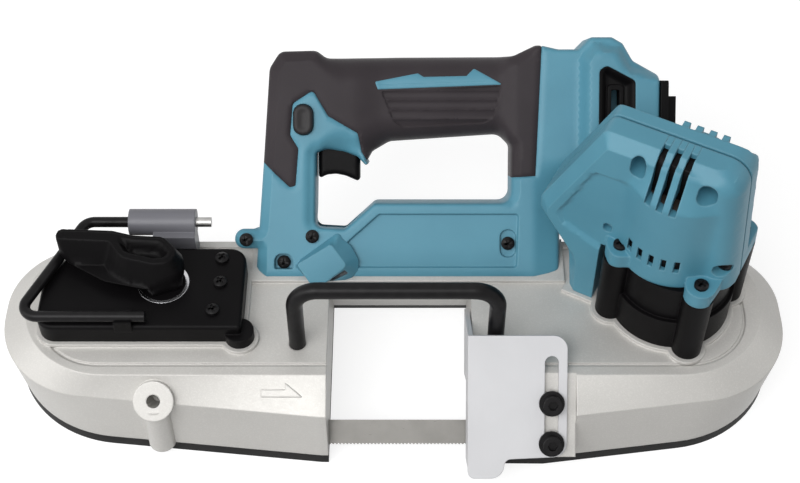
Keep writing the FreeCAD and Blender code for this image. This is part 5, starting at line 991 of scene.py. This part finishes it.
def screwTree():
    tree = bpy.data.node_groups.new("cross_recess_screws", "GeometryNodeTree")
    sockets = [("Points", "Geometry"), ("Head Radius", "Float"), ("Head Height", "Float"),
               ("Recess Width", "Float"), ("Seed", "Int"), ("Finish", "Material")]
    for name, kind in sockets:
        tree.interface.new_socket(name, in_out="INPUT", socket_type="NodeSocket" + kind)
    tree.interface.new_socket("Screws", in_out="OUTPUT", socket_type="NodeSocketGeometry")
    given = addNode(tree, "NodeGroupInput").outputs
    radius, height = given["Head Radius"], given["Head Height"]
    blank = addNode(tree, "GeometryNodeMeshCylinder",
                    {"Vertices": screwForm["sides"], "Side Segments": 2, "Fill Segments": 5},
                    {"Radius": radius, "Depth": height})
    place = addNode(tree, "GeometryNodeInputPosition")
    spot = addNode(tree, "ShaderNodeSeparateXYZ", None, {0: place.outputs[0]}).outputs
    across = addNode(tree, "ShaderNodeMath", None, {0: spot["X"], 1: spot["X"]}, operation="MULTIPLY")
    outward = addNode(tree, "ShaderNodeMath", None, {0: spot["Y"], 1: spot["Y"], 2: across.outputs[0]},
                      operation="MULTIPLY_ADD")
    whole = addNode(tree, "ShaderNodeMath", None, {0: radius, 1: radius}, operation="MULTIPLY")
    share = addNode(tree, "ShaderNodeMath", None, {0: outward.outputs[0], 1: whole.outputs[0]},
                    operation="DIVIDE")
    fall = addNode(tree, "ShaderNodeMath", {1: -screwForm["crown"]}, {0: height}, operation="MULTIPLY")
    drop = addNode(tree, "ShaderNodeMath", None, {0: share.outputs[0], 1: fall.outputs[0]},
                   operation="MULTIPLY")
    above = addNode(tree, "ShaderNodeMath", {1: 0.0001}, {0: spot["Z"]}, operation="GREATER_THAN")
    move = addNode(tree, "ShaderNodeCombineXYZ", None, {"Z": drop.outputs[0]})
    head = addNode(tree, "GeometryNodeSetPosition", None,
                   {"Geometry": blank.outputs["Mesh"], "Selection": above.outputs[0],
                    "Offset": move.outputs[0]})
    reach = addNode(tree, "ShaderNodeMath", {1: screwForm["recessReach"]}, {0: radius}, operation="MULTIPLY")
    lift = addNode(tree, "ShaderNodeMath", {1: screwForm["recessLift"]}, {0: height}, operation="MULTIPLY")
    raised = addNode(tree, "ShaderNodeCombineXYZ", None, {"Z": lift.outputs[0]})
    for longWay, shortWay in (("X", "Y"), ("Y", "X")):
        size = addNode(tree, "ShaderNodeCombineXYZ", None,
                       {longWay: reach.outputs[0], shortWay: given["Recess Width"], "Z": height})
        bar = addNode(tree, "GeometryNodeMeshCube", None, {"Size": size.outputs[0]})
        cutter = addNode(tree, "GeometryNodeTransform", None,
                         {"Geometry": bar.outputs["Mesh"], "Translation": raised.outputs[0]})
        head = addNode(tree, "GeometryNodeMeshBoolean", None,
                       {0: head.outputs[0], 1: cutter.outputs["Geometry"]}, operation="DIFFERENCE")
    axis = addNode(tree, "GeometryNodeInputNamedAttribute", {"Name": "axis"}, data_type="FLOAT_VECTOR")
    facing = addNode(tree, "FunctionNodeAlignRotationToVector", None, {"Vector": axis.outputs["Attribute"]},
                     axis="Z")
    chance = addNode(tree, "FunctionNodeRandomValue", {2: 0.0, 3: screwForm["mostTurn"]},
                     {"Seed": given["Seed"]}, data_type="FLOAT")
    spin = addNode(tree, "ShaderNodeCombineXYZ", None, {"Z": chance.outputs[1]})
    turn = addNode(tree, "FunctionNodeEulerToRotation", None, {0: spin.outputs[0]})
    turned = addNode(tree, "FunctionNodeRotateRotation", None,
                     {"Rotation": facing.outputs[0], "Rotate By": turn.outputs[0]}, rotation_space="LOCAL")
    placed = addNode(tree, "GeometryNodeInstanceOnPoints", None,
                     {"Points": given["Points"], "Instance": head.outputs[0], "Rotation": turned.outputs[0]})
    real = addNode(tree, "GeometryNodeRealizeInstances", None, {"Geometry": placed.outputs[0]})
    done = addNode(tree, "GeometryNodeSetMaterial", None,
                   {"Geometry": real.outputs[0], "Material": given["Finish"]})
    addNode(tree, "NodeGroupOutput", None, {"Screws": done.outputs[0]})
    return tree


def makeScrews():
    half = screw["Head Height"] / mm / 2
    upright = (0, 0, 1)
    leaning = (0, -handle["lean"], handle["lean"])
    spots = [(handlePlace(True)(x, up, height + half), leaning) for x, up, height in screwSpots["handle"]]
    for degrees in screwSpots["lobeTurns"]:
        turn = math.radians(degrees)
        lobe = Vector((math.cos(turn), math.sin(turn))) * motor["lobeReach"]
        spots.append((((motor["x"] + lobe.x) * mm, (motor["y"] + lobe.y) * mm,
                       (motor["z"] + motor["flange"] + half) * mm), upright))
    outward = (math.sin(motor["turn"]), -math.cos(motor["turn"]), 0)
    spots.append((motorPlace(True)(*motor["screwSpot"], motor["screwFloor"] + half), outward))
    for x, y in screwSpots["cover"]:
        spots.append(((x * mm, y * mm, (screwSpots["coverTop"] + half) * mm), upright))
    mesh = bpy.data.meshes.new("screw_points")
    mesh.from_pydata([spot for spot, axis in spots], [], [])
    mesh.attributes.new("axis", "FLOAT_VECTOR", "POINT")
    mesh.attributes["axis"].data.foreach_set("vector", [part for spot, axis in spots for part in axis])
    carrier = bpy.data.objects.new("screw_points", mesh)
    bpy.context.scene.collection.objects.link(carrier)
    modifier = carrier.modifiers.new("screws", "NODES")
    modifier.node_group = screwTree()
    for item in modifier.node_group.interface.items_tree:
        if item.name in screw:
            modifier[item.identifier] = screw[item.name]
    made = bpy.data.meshes.new_from_object(carrier.evaluated_get(bpy.context.evaluated_depsgraph_get()))
    carrier.modifiers.remove(modifier)
    bpy.data.objects.remove(carrier)
    made.name = "recessed_screws"
    finishPiece(made, "frame", ["body_screws", "motor_screws", "cover_screws"], "black_steel")


makeScrews()
print("stage: screws made")


# Floor, light and camera, in metres and watts

studio = {
    "floorColour": "9c9c9c", "floorDrop": 0.4 * mm, "floorReach": 6.0, "floorGlow": 0.8, "ambient": 0.24,
    "cameraPlace": (0.0036, -0.5215, 0.6726), "cameraAim": (0.0036, 0.0429, 0.0), "lens": 67.5,
    "sensor": 36.0,
}
lights = {
    "key_softbox": {"place": (-0.5, -1.0, 1.35), "aim": (0, 0, 0.06), "size": (1.2, 1.0), "power": 21.5},
    "overhead_softbox": {"place": (-0.1, 0.25, 1.5), "aim": (0, 0, 0.05), "size": (1.6, 1.2), "power": 1.5},
    "left_softbox": {"place": (-1.3, -0.5, 0.7), "aim": (0, 0, 0.08), "size": (1.0, 1.0), "power": 7},
    "right_softbox": {"place": (1.3, 0.1, 0.7), "aim": (0.05, 0, 0.1), "size": (0.7, 0.9), "power": 2},
}


def shownRay(tree):
    # One for rays from the camera, off metal and through glass, nought for the rest
    path = addNode(tree, "ShaderNodeLightPath").outputs
    seen = addNode(tree, "ShaderNodeMath", None, {0: path["Is Camera Ray"], 1: path["Is Glossy Ray"]},
                   operation="MAXIMUM")
    shown = addNode(tree, "ShaderNodeMath", None, {0: seen.outputs[0], 1: path["Is Transmission Ray"]},
                    operation="MAXIMUM")
    return shown.outputs[0]


def makeFloor():
    # Grey to the light that bounces off it, near white to the eye, so that it keeps soft shadows
    mesh = bpy.data.meshes.new("studio_floor")
    reach, low = studio["floorReach"], -studio["floorDrop"]
    corners = [(-reach, -reach, low), (reach, -reach, low), (reach, reach, low), (-reach, reach, low)]
    mesh.from_pydata(corners, [], [(0, 1, 2, 3)])
    floor = bpy.data.objects.new("studio_floor", mesh)
    bpy.context.scene.collection.objects.link(floor)
    material, tree = newMaterial("white_floor_paint")
    shader = addNode(tree, "ShaderNodeBsdfPrincipled",
                     {"Base Color": linear(studio["floorColour"]), "Roughness": 0.9,
                      "Specular IOR Level": 0.0})
    glow = addNode(tree, "ShaderNodeMath", {1: studio["floorGlow"]}, {0: shownRay(tree)},
                   operation="MULTIPLY")
    lit = addNode(tree, "ShaderNodeEmission", None, {"Strength": glow.outputs[0]})
    both = addNode(tree, "ShaderNodeAddShader", None, {0: shader.outputs["BSDF"], 1: lit.outputs["Emission"]})
    addNode(tree, "ShaderNodeOutputMaterial", None, {"Surface": both.outputs["Shader"]})
    mesh.materials.append(material)


def aimed(place, aim):
    return (Vector(aim) - Vector(place)).to_track_quat("-Z", "Y").to_euler()


def makeLights():
    for name, light in lights.items():
        data = bpy.data.lights.new(name, "AREA")
        data.shape = "RECTANGLE"
        data.size, data.size_y = light["size"]
        data.energy = light["power"]
        lamp = bpy.data.objects.new(name, data)
        lamp.location = light["place"]
        lamp.rotation_euler = aimed(light["place"], light["aim"])
        bpy.context.scene.collection.objects.link(lamp)


def makeWorld():
    # White to the eye, in metal and through glass; softer as light
    world = bpy.data.worlds.new("white_studio")
    world.use_nodes = True
    sky = world.node_tree
    sky.nodes.clear()
    strength = addNode(sky, "ShaderNodeMapRange", {"To Min": studio["ambient"], "To Max": 1.0},
                       {"Value": shownRay(sky)})
    background = addNode(sky, "ShaderNodeBackground", {"Color": (1, 1, 1, 1)},
                         {"Strength": strength.outputs["Result"]})
    addNode(sky, "ShaderNodeOutputWorld", None, {"Surface": background.outputs["Background"]})
    bpy.context.scene.world = world


def makeCamera():
    data = bpy.data.cameras.new("studio_camera")
    data.sensor_width = studio["sensor"]
    data.lens = studio["lens"]
    camera = bpy.data.objects.new("studio_camera", data)
    camera.location = studio["cameraPlace"]
    camera.rotation_euler = aimed(studio["cameraPlace"], studio["cameraAim"])
    bpy.context.scene.collection.objects.link(camera)
    bpy.context.scene.camera = camera


makeFloor()
makeWorld()
makeCamera()
makeLights()
bpy.context.scene.view_settings.view_transform = "Standard"
print("stage: studio set")
